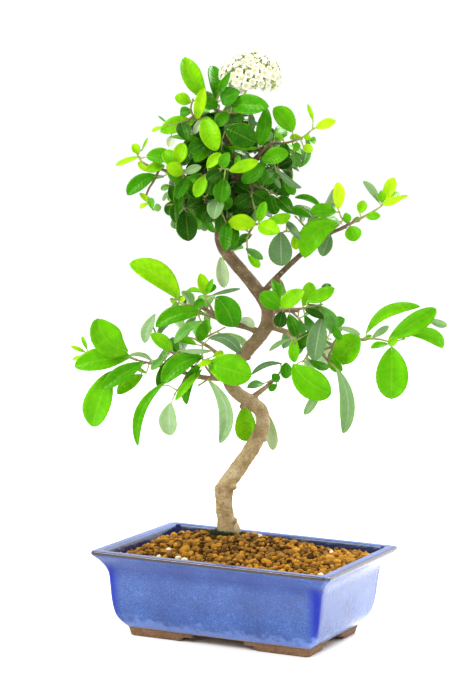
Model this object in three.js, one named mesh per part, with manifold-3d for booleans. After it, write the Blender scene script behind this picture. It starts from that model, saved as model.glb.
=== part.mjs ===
// Firethorn bonsai in a rectangular glazed pot. Millimetres, +Z up, +X along the pot's long side.
import * as THREE from "three";
import { mergeVertices } from "three/addons/utils/BufferGeometryUtils.js";
import Module from "manifold-3d";

const wasm = await Module();
wasm.setup();

// Pot: outer rim, height and the inset of its walls from the rim at each height.
const RIM_LENGTH = 170;
const RIM_WIDTH = 124;
const POT_HEIGHT = 58;
const RIM_CORNER_RADIUS = 4.5;
const LEAST_CORNER_RADIUS = 2.5;
const CORNER_STEPS = 4;
const OUTER_PROFILE = [
  { z: 6, inset: 19.4 },
  { z: 8.5, inset: 16.9 },
  { z: 12, inset: 14.1 },
  { z: 16, inset: 12.3 },
  { z: 24, inset: 10.7 },
  { z: 36, inset: 9.6 },
  { z: 43, inset: 9 },
  { z: 47, inset: 7.2 },
  { z: 50.5, inset: 4.8 },
  { z: 53, inset: 2.4 },
  { z: 54.6, inset: 0.6 },
  { z: 55.4, inset: 0 },
  { z: POT_HEIGHT, inset: 0 },
];
const INNER_PROFILE = [
  { z: 10.5, inset: 23 },
  { z: 15, inset: 19 },
  { z: 34, inset: 14.6 },
  { z: 50, inset: 9.6 },
  { z: POT_HEIGHT, inset: 7 },
];
const UNDERSIDE_Z = 5.5;
const FLOOR_Z = INNER_PROFILE[0].z;

// Feet: an L at each corner, with a shallow step where each arm ends.
const FOOT_INSET_TOP = 19.6;
const FOOT_INSET_BOTTOM = 21.2;
const FOOT_BREADTH = 9;
const FOOT_STEP_Z = 3;
const FOOT_GAP = { x: 19, y: 11 };
const FOOT_STEP_LENGTH = 8;

// Drainage: two round holes, each under a square plastic net.
const DRAIN_X = 36;
const DRAIN_RADIUS = 7;
const NET_SIDE = 23;
const NET_HOLES = 3;
const NET_BAR = 1.6;
const NET_THICKNESS = 1.2;

// The gap left between pieces that touch.
const GAP = 0.3;

// Soil: its edge at the wall, its mound at the trunk and the relief of its granules.
const SOIL_EDGE_Z = 53;
const SOIL_CROWN_Z = 64;
const SOIL_FALL = 1.35;
const GRANULE_PITCH = 6.8;
const GRANULE_JITTER = 2;
const GRANULE_RELIEF = { peak: 1.5, hollow: 0.6 };

// Tree: it stands left of the pot's middle, and its own frame (across, depth, up) is turned about Z.
const TRUNK_PLACE = { x: -21, y: 16 };
const TREE_TURN = THREE.MathUtils.degToRad(24.3);
const TRUNK_SIDES = 8;
const BRANCH_SIDES = 5;
const TWIG_SIDES = 3;
const TWIG_RADIUS = { base: 1.1, tip: 0.9 };

// Leaf blades: where along them they have a section, their fold at the rib and their thickness there.
const BLADE_STATIONS = [0.36, 0.78];
const SMALL_BLADE_STATIONS = [0.55];
const SMALL_BLADE_LENGTH = 9.5;
const BLADE_FOLD = THREE.MathUtils.degToRad(16);
const RIB_DEPTH = 1.1;
const PETIOLE_WIDTH = 0.7;
const DEFAULT_BOW = 0.1;

// Flower head: a dome of florets round a small core.
const DOME_CENTRE = [9, -7, 369];
const DOME_RADII = [20.5, 17, 16.5];
const FLORETS = 36;
const FLORET_RADIUS = 3.5;
const FLORET_NOTCH = 2;
const FLORET_DEPTH = 1.6;
const FLORET_HOLLOW = 0.3;
const DOME_CORE_SHARE = 0.5;
const DOME_LOWEST = -0.55;
const PEDICEL_RADIUS = 0.6;
const PEDICEL_START = 0.4;

// Room that leaves keep: from the wood's surface, twigs, the flower head, leaves of other shoots and
// their own. A leaf's root stands on the twig where that is TWIG_CLEAR out of the wood.
const WOOD_ROOM = 1.6;
const TWIG_ROOM = 2.4;
const TWIG_CLEAR = 1.2;
const FLOWER_ROOM = 2;
const LEAF_ROOM = 3;
const OWN_LEAF_ROOM = 2;
const SAMPLE_STATIONS = [0.15, 0.3, 0.45, 0.6, 0.75, 0.88, 1];
const SAMPLE_SPREAD = [-0.85, -0.4, 0, 0.4, 0.85];
const DEPTH_SHIFTS = [0, -4, 4, -8, 8, -12, 12, -16, 16];
const FAR_FROM_LEAF = 60;

// Leaves read from the front, and the further ones that go round a twig behind them.
const BASE_DEPTH_SHARE = 0.15;
const TURN_TRIES = [0, 45, -45, 90, -90, 135, 180];
const SPIRAL_SEED = 2024;
const SPIRAL_START = 0.3;
const SPIRAL_LENGTH = { least: 15, spread: 11 };
const SPIRAL_WIDTH_SHARE = { least: 0.46, spread: 0.12 };
const SPIRAL_ROLL = 0.8;
const SPIRAL_WAY = { ahead: 0.5, out: 0.85, up: 0.12 };
const SPIRAL_DROOP = 0.15;
const SPIRAL_BEHIND = { leafy: 4, bare: -8 };
const PETIOLE_LENGTH = 3.5;

// Trunk: [across, depth, up, radius] along its middle, from the buried root crown to the leader's tip.
const TRUNK = [
  [0, 1, 40, 8.4],
  [0.5, 0.5, 54, 9],
  [0.8, 0, 64, 8.2],
  [-0.8, -0.5, 72, 6.2],
  [-2.7, -1.5, 82, 5.8],
  [-2.8, -2, 91, 6],
  [0, -2, 98.5, 5.9],
  [8, 0, 110, 5.5],
  [15, 3, 121, 5.2],
  [20, 4.5, 130, 4.9],
  [22, 5, 138, 4.8],
  [20.5, 4, 146, 4.8],
  [14, 1, 152, 4.7],
  [5, -3, 158.5, 4.5],
  [-1, -5, 166, 4.4],
  [-0.5, -5, 174, 4.4],
  [5, -3, 181, 4.4],
  [13, 1, 190, 4.5],
  [19.5, 3.5, 197.5, 4.6],
  [23.5, 4.5, 205, 4.7],
  [23.5, 4, 214, 4.5],
  [19.5, 3, 223, 4.4],
  [12.5, 1, 232, 4.3],
  [5, -1, 241, 4.2],
  [-3, -2.5, 250, 4.2],
  [-8, -3, 259, 4.2],
  [-9, -2, 267, 3.9],
  [-8, 0, 277, 3.2],
  [-3, 2, 288, 2.7],
  [0, 3, 300, 2.3],
  [-2, 3, 314, 1.9],
  [-7, 1, 328, 1.6],
  [-12, -2, 341, 1.3],
];

// Branches that have turned to wood, each from inside the limb that bears it.
const BRANCHES = [
  [[-1, -5, 169, 2.3], [-9, -9, 169, 1.9], [-18, -13, 170, 1.7], [-30, -16, 173, 1.5], [-46, -16, 177, 1.2]],
  [[12, 1, 153, 2.4], [18, 2, 158, 1.9], [24, 1, 163, 1.6], [28.5, 0, 168, 1.3]],
  [[-1, -4, 174, 2.1], [-5, 8, 178, 1.7], [-12, 20, 184, 1.4], [-20, 31, 188, 1.2]],
  [[18, 2, 199.5, 2.4], [9, 0, 203, 2.1], [0, -2, 205, 1.8], [-9, -4, 208, 1.5], [-19, -6, 216, 1.2]],
  [[24, 4, 204, 2.3], [36, 1, 200, 1.8], [47, -3, 197, 1.5], [56, -7, 190, 1.3], [62, -9, 186, 1.2]],
  [[23, 5, 209, 2.1], [27, 16, 211, 1.7], [34, 27, 212, 1.4], [43, 35, 211, 1.2]],
  [[22, 4, 219, 2.2], [32, -2, 215, 1.7], [44, -5, 215, 1.3]],
  [[19, 3, 224, 2.6], [25, 2, 231.5, 2.2], [33, 0, 240.5, 2], [44, -2, 251.5, 1.8], [54, -4, 260.5, 1.6],
    [64, -5, 267, 1.4], [74, -6, 271.5, 1.2]],
  [[-9, -2, 270, 2.4], [-18, -5, 284, 1.9], [-28, -6, 295, 1.6], [-37, -6, 302, 1.4], [-46, -5, 306, 1.2]],
  [[-17, -5, 283, 1.6], [-26, -9, 282, 1.4], [-35, -11, 283, 1.2]],
  [[-3, 2, 288, 2.2], [6, 1, 298, 1.8], [13, -2, 312, 1.5], [17, -4, 322, 1.3]],
  [[-7, 1, 328, 1.5], [-15, -4, 335, 1.3], [-25, -8, 339, 1.2]],
  [[-9, -1, 273, 1.9], [-3, -8, 274, 1.6], [5, -14, 273, 1.4], [12, -18, 272, 1.2]],
  [[-8, 0, 276, 2.2], [-9, 12, 286, 1.8], [-12, 24, 296, 1.4], [-12, 33, 304, 1.2]],
  [[0, 3, 300, 1.8], [8, 13, 306, 1.5], [16, 24, 310, 1.2]],
];

// Knots and a cut stub on the trunk: [across, depth, up, radius].
const KNOTS = [
  [-5.5, -4.5, 94, 4],
  [29.5, -0.5, 233.5, 2.2],
  [11, -3.5, 183, 2.2],
];

// Leafy shoots. twigs hold [across, depth, up], the first from the wood and the others from it. leaves
// hold [base across, base up, tip across, tip up, width, tip depth from the base, roll in degrees, bow,
// side bow], as they show from the front; more is how many further leaves go round the twigs behind.
const SHOOTS = [
  {
    name: "shoot_low_left_tip",
    twigs: [
      [[-44, -16, 176.5], [-54, -15, 179], [-62, -16, 181], [-68, -17, 183]],
      [[-56, -15, 179.5], [-66, -19, 176], [-74, -21, 173], [-81, -21, 171]],
      [[-62, -16, 181], [-74, -11, 184], [-86, -9, 185], [-95, -9, 184]],
    ],
    leaves: [
      [-68, 187, -88.5, 208.5, 21.5, -3, 10, 0.1, -0.2],
      [-66, 183.5, -103, 176.5, 16, -5, 10],
      [-78.5, 174, -91, 136, 19.5, 4, 10],
      [-57.5, 179.5, -84.5, 162.5, 11.5, -12, 10],
      [-58, 171.5, -74.5, 159, 9.5, -6, 10],
      [-96.5, 184.5, -106.5, 188.5, 3, -1],
      [-95.5, 186, -99.5, 194.5, 3, 1],
      [-97.5, 182, -105.5, 179, 3, 2],
      [-55.5, 172, -64.5, 177, 3, -2],
    ],
    more: 0,
  },
  {
    name: "shoot_low_left_mid",
    twigs: [
      [[-20, -13.5, 170.5], [-26, -16, 178], [-33, -18, 184], [-41, -19, 188], [-48, -19, 196],
        [-53, -18, 206]],
      [[-25, -15.5, 177], [-31, -22, 168], [-36, -25, 161]],
    ],
    leaves: [
      [-18, 184, -44.5, 166.5, 14, -9, 10, 0.1, 0.12],
      [-38.5, 188.5, -53, 199.5, 9.5, -6, 5],
      [-50.5, 212, -57.5, 192.5, 8.5, -2, 20],
      [-35, 188.5, -12.5, 189, 3.5, 0, 20],
      [-18.5, 180, -28.5, 153, 8.5, -8, 20, 0.1, 0.11],
      [-19, 176, -36, 156, 6, 3, 10],
      [-42.5, 168, -60, 125, 8, -2, 20, 0.1, 0.12],
      [-39, 154.5, -39, 132.5, 13.5, 0, 20],
      [-44, 184, -52.5, 175.5, 5.5, -3],
      [-38.5, 185, -48, 163.5, 8.5, 2],
    ],
    more: 1,
  },
  {
    name: "shoot_low_near",
    twigs: [
      [[-8, -8.5, 169], [-12, -14, 172], [-16, -18, 177], [-19, -20, 184], [-19, -21, 192]],
      [[-12, -14, 172], [-17, -17, 168], [-20, -18, 166]],
    ],
    leaves: [
      [-15.5, 180, 13.5, 172.5, 21.5, -4],
      [-15.5, 197, 6, 187, 8.5, 0, 20, 0.1, -0.24],
      [-15, 169, -6.5, 126.5, 10.5, 0, 20, 0.1, -0.24],
      [-12.5, 184.5, -5, 187.5, 4, -2],
      [-12.5, 182.5, -21.5, 179, 4.5, -2],
      [-22.5, 192.5, -37, 197, 5.5, 2, 10],
    ],
    more: 0,
  },
  {
    name: "shoot_mid_left_tip",
    twigs: [
      [[-17, -5.6, 214], [-24, -8, 217], [-30, -9, 217.5], [-37, -10, 219]],
      [[-21, -7, 216], [-22, -12, 211], [-20, -15, 207]],
    ],
    leaves: [
      [-35, 221, -68.5, 244.5, 17, -4, 10, 0.1, 0.09],
      [-36.5, 219, -41, 220, 3, -2],
      [-35.5, 218, -40, 217.5, 3, -3],
      [-34, 219, -32, 223.5, 3.5, -1],
      [-18.5, 212.5, -50.5, 202.5, 12.5, -6, 15, 0.1, 0.07],
      [-18.5, 208, -37.5, 193.5, 9, -6, 35],
      [-14.5, 210, -21.5, 194, 9, 2, 10],
    ],
    more: 1,
  },
  {
    name: "shoot_mid_left_rosette",
    twigs: [[[-12, -4.6, 210], [-14, -9, 216], [-17, -11, 221], [-18, -11, 225]]],
    leaves: [
      [-18.5, 224.5, -21.5, 239, 8, -2, 10],
      [-20, 226, -31, 225.5, 4.5, -3, 30, 0.1, 0.08],
      [-17, 225.5, -11.5, 231, 5, -2],
      [-19, 222, -25, 216, 6, -4],
      [-11, 223.5, 1, 204, 18.5, -3, 10, 0.1, -0.1],
      [-14, 224.5, 5, 229, 3, 3],
      [-17.5, 225, -13, 236.5, 4.5, -3],
      [3.5, 207, 14.5, 203, 6, 6, 0, 0.1, -0.2],
    ],
    more: 0,
  },
  {
    name: "shoot_behind_bend",
    twigs: [[[9, -1, 155.5], [9, 7, 154], [8, 11, 150]]],
    leaves: [
      [10, 149.5, 11.5, 123, 15, 0, 5],
      [21, 149, 29, 116.5, 9, 3, 20, 0.1, -0.1],
    ],
    more: 0,
  },
  {
    name: "shoot_low_right",
    twigs: [[[26, 0.5, 165.5], [31, -4, 171], [33, -6, 175]]],
    leaves: [
      [36.5, 180.5, 36.5, 170, 8.5, -4],
      [34, 179.5, 13.5, 172, 4, -4, 0, 0.1, 0.13],
      [32, 167, 27.5, 172.5, 6, -3],
      [31, 165, 25.5, 161, 5, -4],
      [22, 165.5, 11, 163.5, 6, -8, 20],
    ],
    more: 0,
  },
  {
    name: "shoot_right_fork",
    twigs: [
      [[60.5, -8.7, 187], [64, -13, 183], [68, -16, 180], [71, -17, 177]],
      [[64, -13, 183], [66, -14, 190], [69, -13, 197], [72, -12, 203]],
    ],
    leaves: [
      [69.5, 205, 85, 200.5, 4, 0, 20, 0.1, -0.1],
      [67, 206, 72.5, 197.5, 6, -5, 20],
      [64.5, 188.5, 73, 175.5, 9, 4, 30],
      [69.5, 179, 75, 135, 11, 0, 20, 0.1, -0.16],
    ],
    more: 1,
  },
  {
    name: "shoot_right_low",
    twigs: [[[52, -5.2, 193.5], [51, -11, 188], [48, -14, 183]]],
    leaves: [
      [41, 180.5, 66.5, 161.5, 20.5, -4, 5, 0.1, 0.09],
      [51, 183.5, 65, 177, 6.5, 5, 25],
      [60.5, 166.5, 49, 146, 7, 8, 20, 0.1, -0.1],
    ],
    more: 1,
  },
  {
    name: "shoot_right_inner",
    twigs: [[[36, 1, 200], [39, -5, 197], [41, -8, 194]]],
    leaves: [
      [38.5, 196, 25, 188, 4, -3, 25],
      [42, 197, 42, 181, 8, -3, 15],
      [53, 202, 45.5, 189.5, 8.5, 2, 20],
    ],
    more: 0,
  },
  {
    name: "shoot_high_right",
    twigs: [
      [[40, -4.2, 215], [46, -10, 217], [52, -12, 218.5], [58, -12, 220]],
      [[45, -9, 216.7], [39, -12, 217], [32, -12, 217]],
    ],
    leaves: [
      [48.5, 222, 67, 231.5, 9.5, -3, 15],
      [46.5, 218.5, 51.5, 234, 10.5, 6, 20],
      [49.5, 220, 66, 201, 11.5, 2, 30, 0.1, -0.26],
      [59.5, 212, 55, 183, 14, 8, 10],
      [32, 217.5, 18, 226.5, 12.5, -3],
      [30, 220, 26, 235, 8, 2, 30],
      [32, 218.5, 47, 230.5, 11, -4],
      [33.5, 215.5, 31, 204.5, 9.5, 2],
      [37.5, 213.5, 43, 199, 8.5, -3],
      [43.5, 209, 48, 200.5, 5.5, -1],
      [47.5, 217, 60.5, 211.5, 5.5, 0],
      [48, 212.5, 53, 201, 7.5, 3],
    ],
    more: 1,
  },
  {
    name: "shoot_far_right",
    twigs: [
      [[58, -7.8, 188.5], [66, -3, 191], [76, -3, 195], [86, -5, 197], [97, -7, 197.5], [106, -9, 196],
        [113, -10, 198]],
    ],
    leaves: [
      [106, 193, 106.5, 158.5, 22.5, -5],
      [104, 198, 135, 218.5, 14, 2, 10],
      [89, 200.5, 124, 220, 8.5, -4, 20, 0.1, -0.21],
      [116, 201, 140.5, 192, 10, 4, 10, 0.1, -0.19],
      [127.5, 212.5, 143, 206.5, 5.5, 4, 20],
      [93, 198, 104, 206, 5, 2],
      [86, 195.5, 93, 199.5, 3.5, 2],
      [103.5, 194.5, 92, 192, 5.5, -4, 25],
      [84, 200.5, 71, 181, 20, -6, 10],
      [104, 194, 109.5, 199.5, 6, -3],
    ],
    more: 0,
  },
  {
    name: "shoot_upper_right_tip",
    twigs: [
      [[71, -5.6, 270.5], [79, -8, 275], [86, -9, 279], [94, -10, 284], [99, -11, 288]],
      [[76, -6.9, 273.3], [71, -10, 277], [69, -11, 281]],
    ],
    leaves: [
      [76.5, 272, 80, 262.5, 11.5, -4],
      [75, 274, 73, 281, 6, -3],
      [77.5, 275, 83.5, 277, 4, -2],
      [82.5, 280.5, 85, 289, 7, 1],
      [86.5, 278.5, 96, 279.5, 6, -3],
      [95, 288, 84, 302, 6, 1, 20],
      [97, 288, 96, 296.5, 5.5, -3],
      [98, 288, 104.5, 304.5, 8.5, 2],
      [97.5, 287, 109, 292, 6, -3],
      [101, 288.5, 114, 293, 3, 3],
      [67, 281.5, 49.5, 281, 10.5, -3, 10],
      [68, 283, 67.5, 301, 8.5, 0, 10],
      [57.5, 283, 39.5, 290, 5, 3, 20, 0.1, 0.12],
      [99.5, 288.5, 108.5, 294, 5.5, 1],
      [69.5, 273, 47, 251, 17, -6, 0, 0.1, 0.22],
    ],
    more: 0,
  },
  {
    name: "shoot_upper_right_mid",
    twigs: [
      [[56, -4.3, 262], [52, -9, 267], [46, -11, 272], [41, -11, 277]],
      [[52.6, -8.6, 266.4], [43, -11, 267.3], [34.8, -11, 268]],
    ],
    leaves: [
      [63.5, 266, 58.5, 252, 10, 3, 10],
      [31, 267.5, 32, 245, 16.5, 0, 10],
      [41, 267, 41, 256, 7, -4],
      [34, 275, 43.5, 263.5, 5.5, -3],
      [51, 277, 33, 282, 7, 2, 20],
    ],
    more: 1,
  },
  {
    name: "shoot_crown_front",
    twigs: [
      [[10, -16.8, 272.2], [16, -20, 273], [21, -21, 275]],
      [[13, -18.5, 272.5], [9, -20, 264], [9, -19, 257]],
    ],
    leaves: [
      [14.5, 273, -4, 273.5, 11.5, -5],
      [16, 274, 20, 288, 7, -2],
      [16, 272, 30, 269, 11.5, -5],
      [22, 276, 37, 279, 8, 2, 30],
      [8, 256.5, 19.5, 250, 5.5, -2],
      [9.5, 252, 17.5, 244.5, 6, 0],
      [8, 264, -2, 256, 6, 2],
      [1, 272, 0, 258, 7, -2],
      [12, 266, 4, 261, 6, 2],
    ],
    more: 0,
  },
  {
    name: "shoot_crown_left_tip",
    twigs: [
      [[-43, -5.3, 304.8], [-50, -7, 307], [-57, -8, 309], [-62, -9, 312], [-65, -9, 317]],
      [[-50, -7, 307], [-53, -10, 300], [-57, -11, 293], [-58, -11, 287], [-54, -11, 281]],
    ],
    leaves: [
      [-51.5, 302.5, -70.5, 289.5, 11, -3, 10, 0.1, 0.06],
      [-46.5, 309, -58.5, 305.5, 7.5, -5, 10],
      [-57, 305, -64, 311, 5.5, -2],
      [-63.5, 316.5, -67.5, 323, 6, 0],
      [-62.5, 315, -79, 308.5, 4, 2],
      [-61.5, 319, -58, 327, 2, -1],
      [-51, 309.5, -54, 317, 8.5, 2, 20],
      [-55, 284.5, -62.5, 291, 4, -1],
      [-56.5, 284.5, -62.5, 281, 3.5, -2],
      [-53, 281, -48, 282, 5.5, -2],
      [-55.5, 288, -53.5, 281.5, 5, -2],
    ],
    more: 0,
  },
  {
    name: "shoot_crown_low_left",
    twigs: [[[-32, -10.6, 282.7], [-38, -14, 284], [-43, -15, 284]]],
    leaves: [
      [-32, 281.5, -29.5, 260.5, 15, -4, 5],
      [-37, 285, -45, 278, 9.5, 3],
      [-39, 285, -38, 273, 7, -3, 15],
      [-39, 286, -42, 297, 9, -4, 15],
      [-38.5, 276.5, -38, 268, 7.5, -3],
      [-41, 293.5, -42, 286, 5.5, -4],
      [-42.5, 296.5, -48.5, 294, 4.5, -2],
    ],
    more: 1,
  },
  {
    name: "shoot_crown_inner_left",
    twigs: [
      [[-27, -5.9, 294], [-26, -14, 299], [-22, -21, 303], [-15, -25, 306], [-9, -26, 309], [-2, -26, 308]],
      [[-26, -14, 299], [-33, -19, 303], [-38, -20, 310]],
    ],
    leaves: [
      [-38, 311, -34, 325, 10, -2],
      [-33, 305, -22, 310, 6, -5],
      [-18.5, 309, -9.5, 319, 7.5, -2],
      [-9, 310, -4, 320, 8, -3],
      [-22, 305.5, -34, 296.5, 6, -4],
      [-19, 304, -25.5, 290, 9, -4],
      [-9, 307.5, -18.5, 301.5, 9, -3],
      [-7, 303, -9, 287, 12, -2],
      [-34, 305, -45, 310, 10, -3],
      [-37, 308, -47, 319, 10, -3],
      [-31, 302, -38, 289, 9, -3],
      [-29, 301, -27, 313, 9, -4],
      [-4, 307.5, 15, 314.5, 8.5, -4, 10],
      [0, 309.5, 2.5, 317.5, 4, 3],
      [-36, 300, -36, 280, 8, -3],
    ],
    more: 0,
  },
  {
    name: "shoot_crown_inner_right",
    twigs: [
      [[6.5, 0.6, 299], [12, -7, 298], [19, -10, 295], [27, -11, 292]],
      [[12, -7, 298], [11, -13, 291], [13, -16, 284]],
    ],
    leaves: [
      [20, 296, 31, 304, 10, -3],
      [27, 293, 40, 297, 9, -3],
      [28, 290, 38, 281, 10, -3],
      [23, 292, 27, 279, 10, -3],
      [11, 291, 1, 284, 10, -3],
      [13, 283, 5, 275, 9, -2],
      [12, 293, 22, 287, 11, -6],
      [10, 293, 0, 298, 10, -4],
      [14, 284, 25, 279, 10, 2],
      [17, 297, 12, 309, 10, -3],
    ],
    more: 0,
  },
  {
    name: "shoot_crown_inner_low",
    twigs: [
      [[-18.3, -5, 284.5], [-20, -12, 287], [-19, -18, 290]],
      [[-20, -12, 287], [-14, -17, 284], [-9, -19, 281]],
    ],
    leaves: [
      [-20, 290, -31, 295, 10, -2],
      [-20, 288, -31, 283, 9, -2],
      [-18, 291, -14, 302, 9, -3],
      [-19, 286, -22, 274, 10, -2],
      [-10, 282, -19, 274, 9, -3],
      [-9, 282, -2, 290, 9, -2],
      [-9, 280, -8, 266, 9, -1],
      [-5, 274, -5, 256, 9, -3],
      [-9, 290, -13, 276, 12, 4, 20],
    ],
    more: 0,
  },
  {
    name: "shoot_crown_top_left",
    twigs: [
      [[-23, -7.3, 338.3], [-28, -11, 342], [-30, -12, 347], [-29, -12, 352]],
      [[-28, -11, 342], [-35, -14, 338], [-45, -15, 336]],
    ],
    leaves: [
      [-20, 353.5, -34.5, 380.5, 14, 2, 10, 0.1, -0.1],
      [-26, 339.5, -21.5, 361, 8, -4],
      [-30, 351, -40.5, 354.5, 8.5, -3],
      [-29, 345, -37, 344, 7.5, 5],
      [-27.5, 338.5, -49.5, 331.5, 12, -6, 10],
      [-46.5, 335, -55.5, 331.5, 3, 1],
      [-44.5, 336.5, -51.5, 341.5, 1.5, 2],
      [-36, 338, -32, 327, 10, -4],
      [-42, 329, -43.5, 322, 5.5, -2],
      [-21, 342, -12.5, 320, 14, -8, 5],
      [-22, 341, -27.5, 330.5, 5, -3],
    ],
    more: 0,
  },
  {
    name: "shoot_crown_leader",
    twigs: [
      [[-11, -1.5, 338.5], [-13, -4, 346], [-13, -5, 351]],
      [[-13, -4, 346], [-7, -9, 345], [-2, -12, 345], [4, -13, 346], [9, -13, 349]],
    ],
    leaves: [
      [-13.5, 352, -17, 375, 10.5, 2, 15],
      [-12, 357, -4.5, 371.5, 5.5, -20, 10],
      [-10.5, 353, 2, 359, 12.5, -2, 10],
      [-13, 344.5, -6.5, 333, 8.5, -4, 20],
      [-3.5, 350, 21, 350, 14, -5, 5],
      [19, 349.5, 15.5, 324, 10.5, -4, 10, 0.1, -0.08],
      [9, 346, 11, 333.5, 5, -3],
      [-12, 349, -23, 351, 9, -2],
      [-5, 345, -13, 336, 9, -3],
    ],
    more: 1,
  },
  {
    name: "shoot_crown_mid_front",
    twigs: [
      [[-3, 2.8, 317], [-7, -6, 320], [-10, -14, 324], [-9, -19, 328]],
      [[-9, -11, 322.5], [-14, -12, 321], [-20, -12, 325]],
    ],
    leaves: [
      [-7, 335, 13, 326, 17, -3, 5],
      [-9.5, 322.5, 15.5, 322, 3, 4, 20],
      [-14.5, 322.5, -43, 328, 5, 1, 20],
      [-17, 324, -27, 313, 10, -2],
      [-16, 325, -27, 335, 10, -4],
      [-11, 323, -4, 313, 11, -4],
      [-19, 325, -31, 319, 10, -4],
      [-10, 326, -14, 338, 10, 3],
    ],
    more: 0,
  },
  {
    name: "shoot_crown_right",
    twigs: [
      [[15, -3, 317], [23, -7, 325], [30, -8, 325.5], [37, -8, 327], [44, -8, 330], [50, -8, 335]],
      [[23, -7, 325], [24, -13, 318], [26, -16, 311], [28, -17, 304]],
    ],
    leaves: [
      [17, 314, 34.5, 320, 11.5, -5],
      [37, 333, 24, 348.5, 13.5, -3, 5, 0.1, 0.05],
      [50.5, 340.5, 46.5, 351.5, 3, 1],
      [52, 336, 65, 341, 7, -2],
      [40, 326.5, 39.5, 320.5, 5.5, -4],
      [44, 324, 50.5, 321, 6, -3],
      [48, 328, 52.5, 327.5, 5, 3],
      [44, 328.5, 35.5, 329.5, 5, 2],
      [38.5, 319.5, 39, 310, 9.5, 2],
      [31.5, 327, 25.5, 332.5, 3, -4],
      [23, 327, 18, 334, 7, -4],
      [27.5, 309, 43.5, 297.5, 6, -8, 45],
      [32, 303.5, 39, 292.5, 7.5, 3],
      [19.5, 314, 4, 300.5, 11, -4, 5, 0.1, -0.11],
      [28, 310, 37, 315, 9, -4],
      [27, 307, 18, 300, 10, -4],
      [32, 326, 31, 314, 9, -4],
      [44, 330.5, 49, 329, 4, -2],
      [24, 306, 30, 296.5, 3.5, -2],
    ],
    more: 1,
  },
  {
    name: "shoot_low_back",
    twigs: [
      [[-16, 26, 186], [-26, 36, 190], [-34, 40, 191]],
      [[-23, 33, 188.8], [-14, 39, 193], [-6, 43, 197]],
    ],
    leaves: [],
    more: 7,
  },
  {
    name: "shoot_low_left_back",
    twigs: [[[-40, -15.2, 175.8], [-45, -6, 177], [-49, 2, 178], [-54, 8, 177]]],
    leaves: [],
    more: 2,
  },
  {
    name: "shoot_mid_left_back",
    twigs: [[[-9, -3.5, 208], [-16, 6, 209], [-24, 13, 210], [-32, 17, 210]]],
    leaves: [],
    more: 5,
  },
  {
    name: "shoot_mid_back",
    twigs: [
      [[39, 32, 211.5], [46, 40, 204], [50, 44, 198]],
      [[41.1, 34.4, 209.3], [36, 41, 211], [31, 45, 213]],
    ],
    leaves: [],
    more: 7,
  },
  {
    name: "shoot_right_back",
    twigs: [[[48, -3, 196.5], [55, 5, 196], [61, 12, 196], [66, 18, 194]]],
    leaves: [],
    more: 5,
  },
  {
    name: "shoot_trunk_back",
    twigs: [[[-1, -1.7, 248], [-4, 8, 248], [-6, 17, 247], [-7, 25, 244]]],
    leaves: [[-9, 247.5, -6, 227, 9, 0]],
    more: 1,
  },
  {
    name: "shoot_upper_right_back",
    twigs: [[[55, -3.8, 261], [57, 6, 268], [58, 14, 274], [58, 21, 278]]],
    leaves: [],
    more: 5,
  },
  {
    name: "shoot_crown_back",
    twigs: [
      [[-12, 29, 300], [-14, 38, 309], [-14, 42, 317], [-12, 43, 325]],
      [[-14, 38, 309], [-23, 41, 306], [-31, 41, 303]],
      [[-14, 38, 309], [-6, 44, 306], [2, 46, 302]],
    ],
    leaves: [],
    more: 10,
  },
  {
    name: "shoot_crown_back_right",
    twigs: [
      [[13, 20, 308.5], [20, 29, 312], [24, 33, 318]],
      [[20, 29, 312], [27, 28, 307], [32, 28, 302]],
    ],
    leaves: [],
    more: 7,
  },
  {
    name: "shoot_crown_back_top",
    twigs: [
      [[-8, 1, 330.5], [-10, 10, 335], [-12, 18, 341], [-12, 22, 348]],
      [[-10, 10, 335], [-3, 16, 338], [4, 20, 342]],
      [[-12, 18, 341], [-21, 21, 340]],
    ],
    leaves: [],
    more: 8,
  },
  {
    name: "shoot_crown_back_left",
    twigs: [
      [[-30, -5.8, 297], [-34, 5, 299], [-40, 14, 301], [-46, 19, 303]],
      [[-34, 5, 299], [-32, 14, 293], [-29, 22, 288]],
    ],
    leaves: [],
    more: 6,
  },
];

// The flower stalk: [across, depth, up, radius], from the wood to inside the dome.
const FLOWER_STALK = [
  [-8, 0.5, 331, 1.1],
  [-4, -5, 339, 1],
  [1, -6, 349, 0.9],
  [5, -7, 357, 0.9],
  [8, -7, 365, 0.9],
];

// A repeatable draw between 0 and 1.
function makeDraw(seed) {
  let state = seed;
  return () => {
    state = (state * 16807) % 2147483647;
    return state / 2147483647;
  };
}

// Closed surface through rings of equally many points, closed by a fan or a single point at each end.
function loft(rings, startPoint, endPoint) {
  const count = rings[0].length;
  const points = rings.flat();
  const middle = (ring) =>
    ring.reduce((sum, p) => sum.add(p), new THREE.Vector3()).divideScalar(count);
  points.push(startPoint ?? middle(rings[0]), endPoint ?? middle(rings.at(-1)));
  const start = points.length - 2;
  const end = points.length - 1;
  const last = (rings.length - 1) * count;
  const index = [];
  for (let i = 0; i < count; i++) {
    const next = (i + 1) % count;
    index.push(start, next, i, end, last + i, last + next);
    for (let r = 0; r < rings.length - 1; r++) {
      const a = r * count;
      const b = a + count;
      index.push(a + i, a + next, b + next, a + i, b + next, b + i);
    }
  }
  const geometry = new THREE.BufferGeometry().setFromPoints(points);
  geometry.setIndex(index);
  return geometry;
}

// A closed geometry as a solid that can be joined and cut.
function solidOf(geometry) {
  const bare = geometry.clone();
  bare.deleteAttribute("normal");
  bare.deleteAttribute("uv");
  const merged = mergeVertices(bare, 1e-4);
  return new wasm.Manifold(
    new wasm.Mesh({
      numProp: 3,
      vertProperties: new Float32Array(merged.attributes.position.array),
      triVerts: new Uint32Array(merged.index.array),
    }),
  );
}

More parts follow.
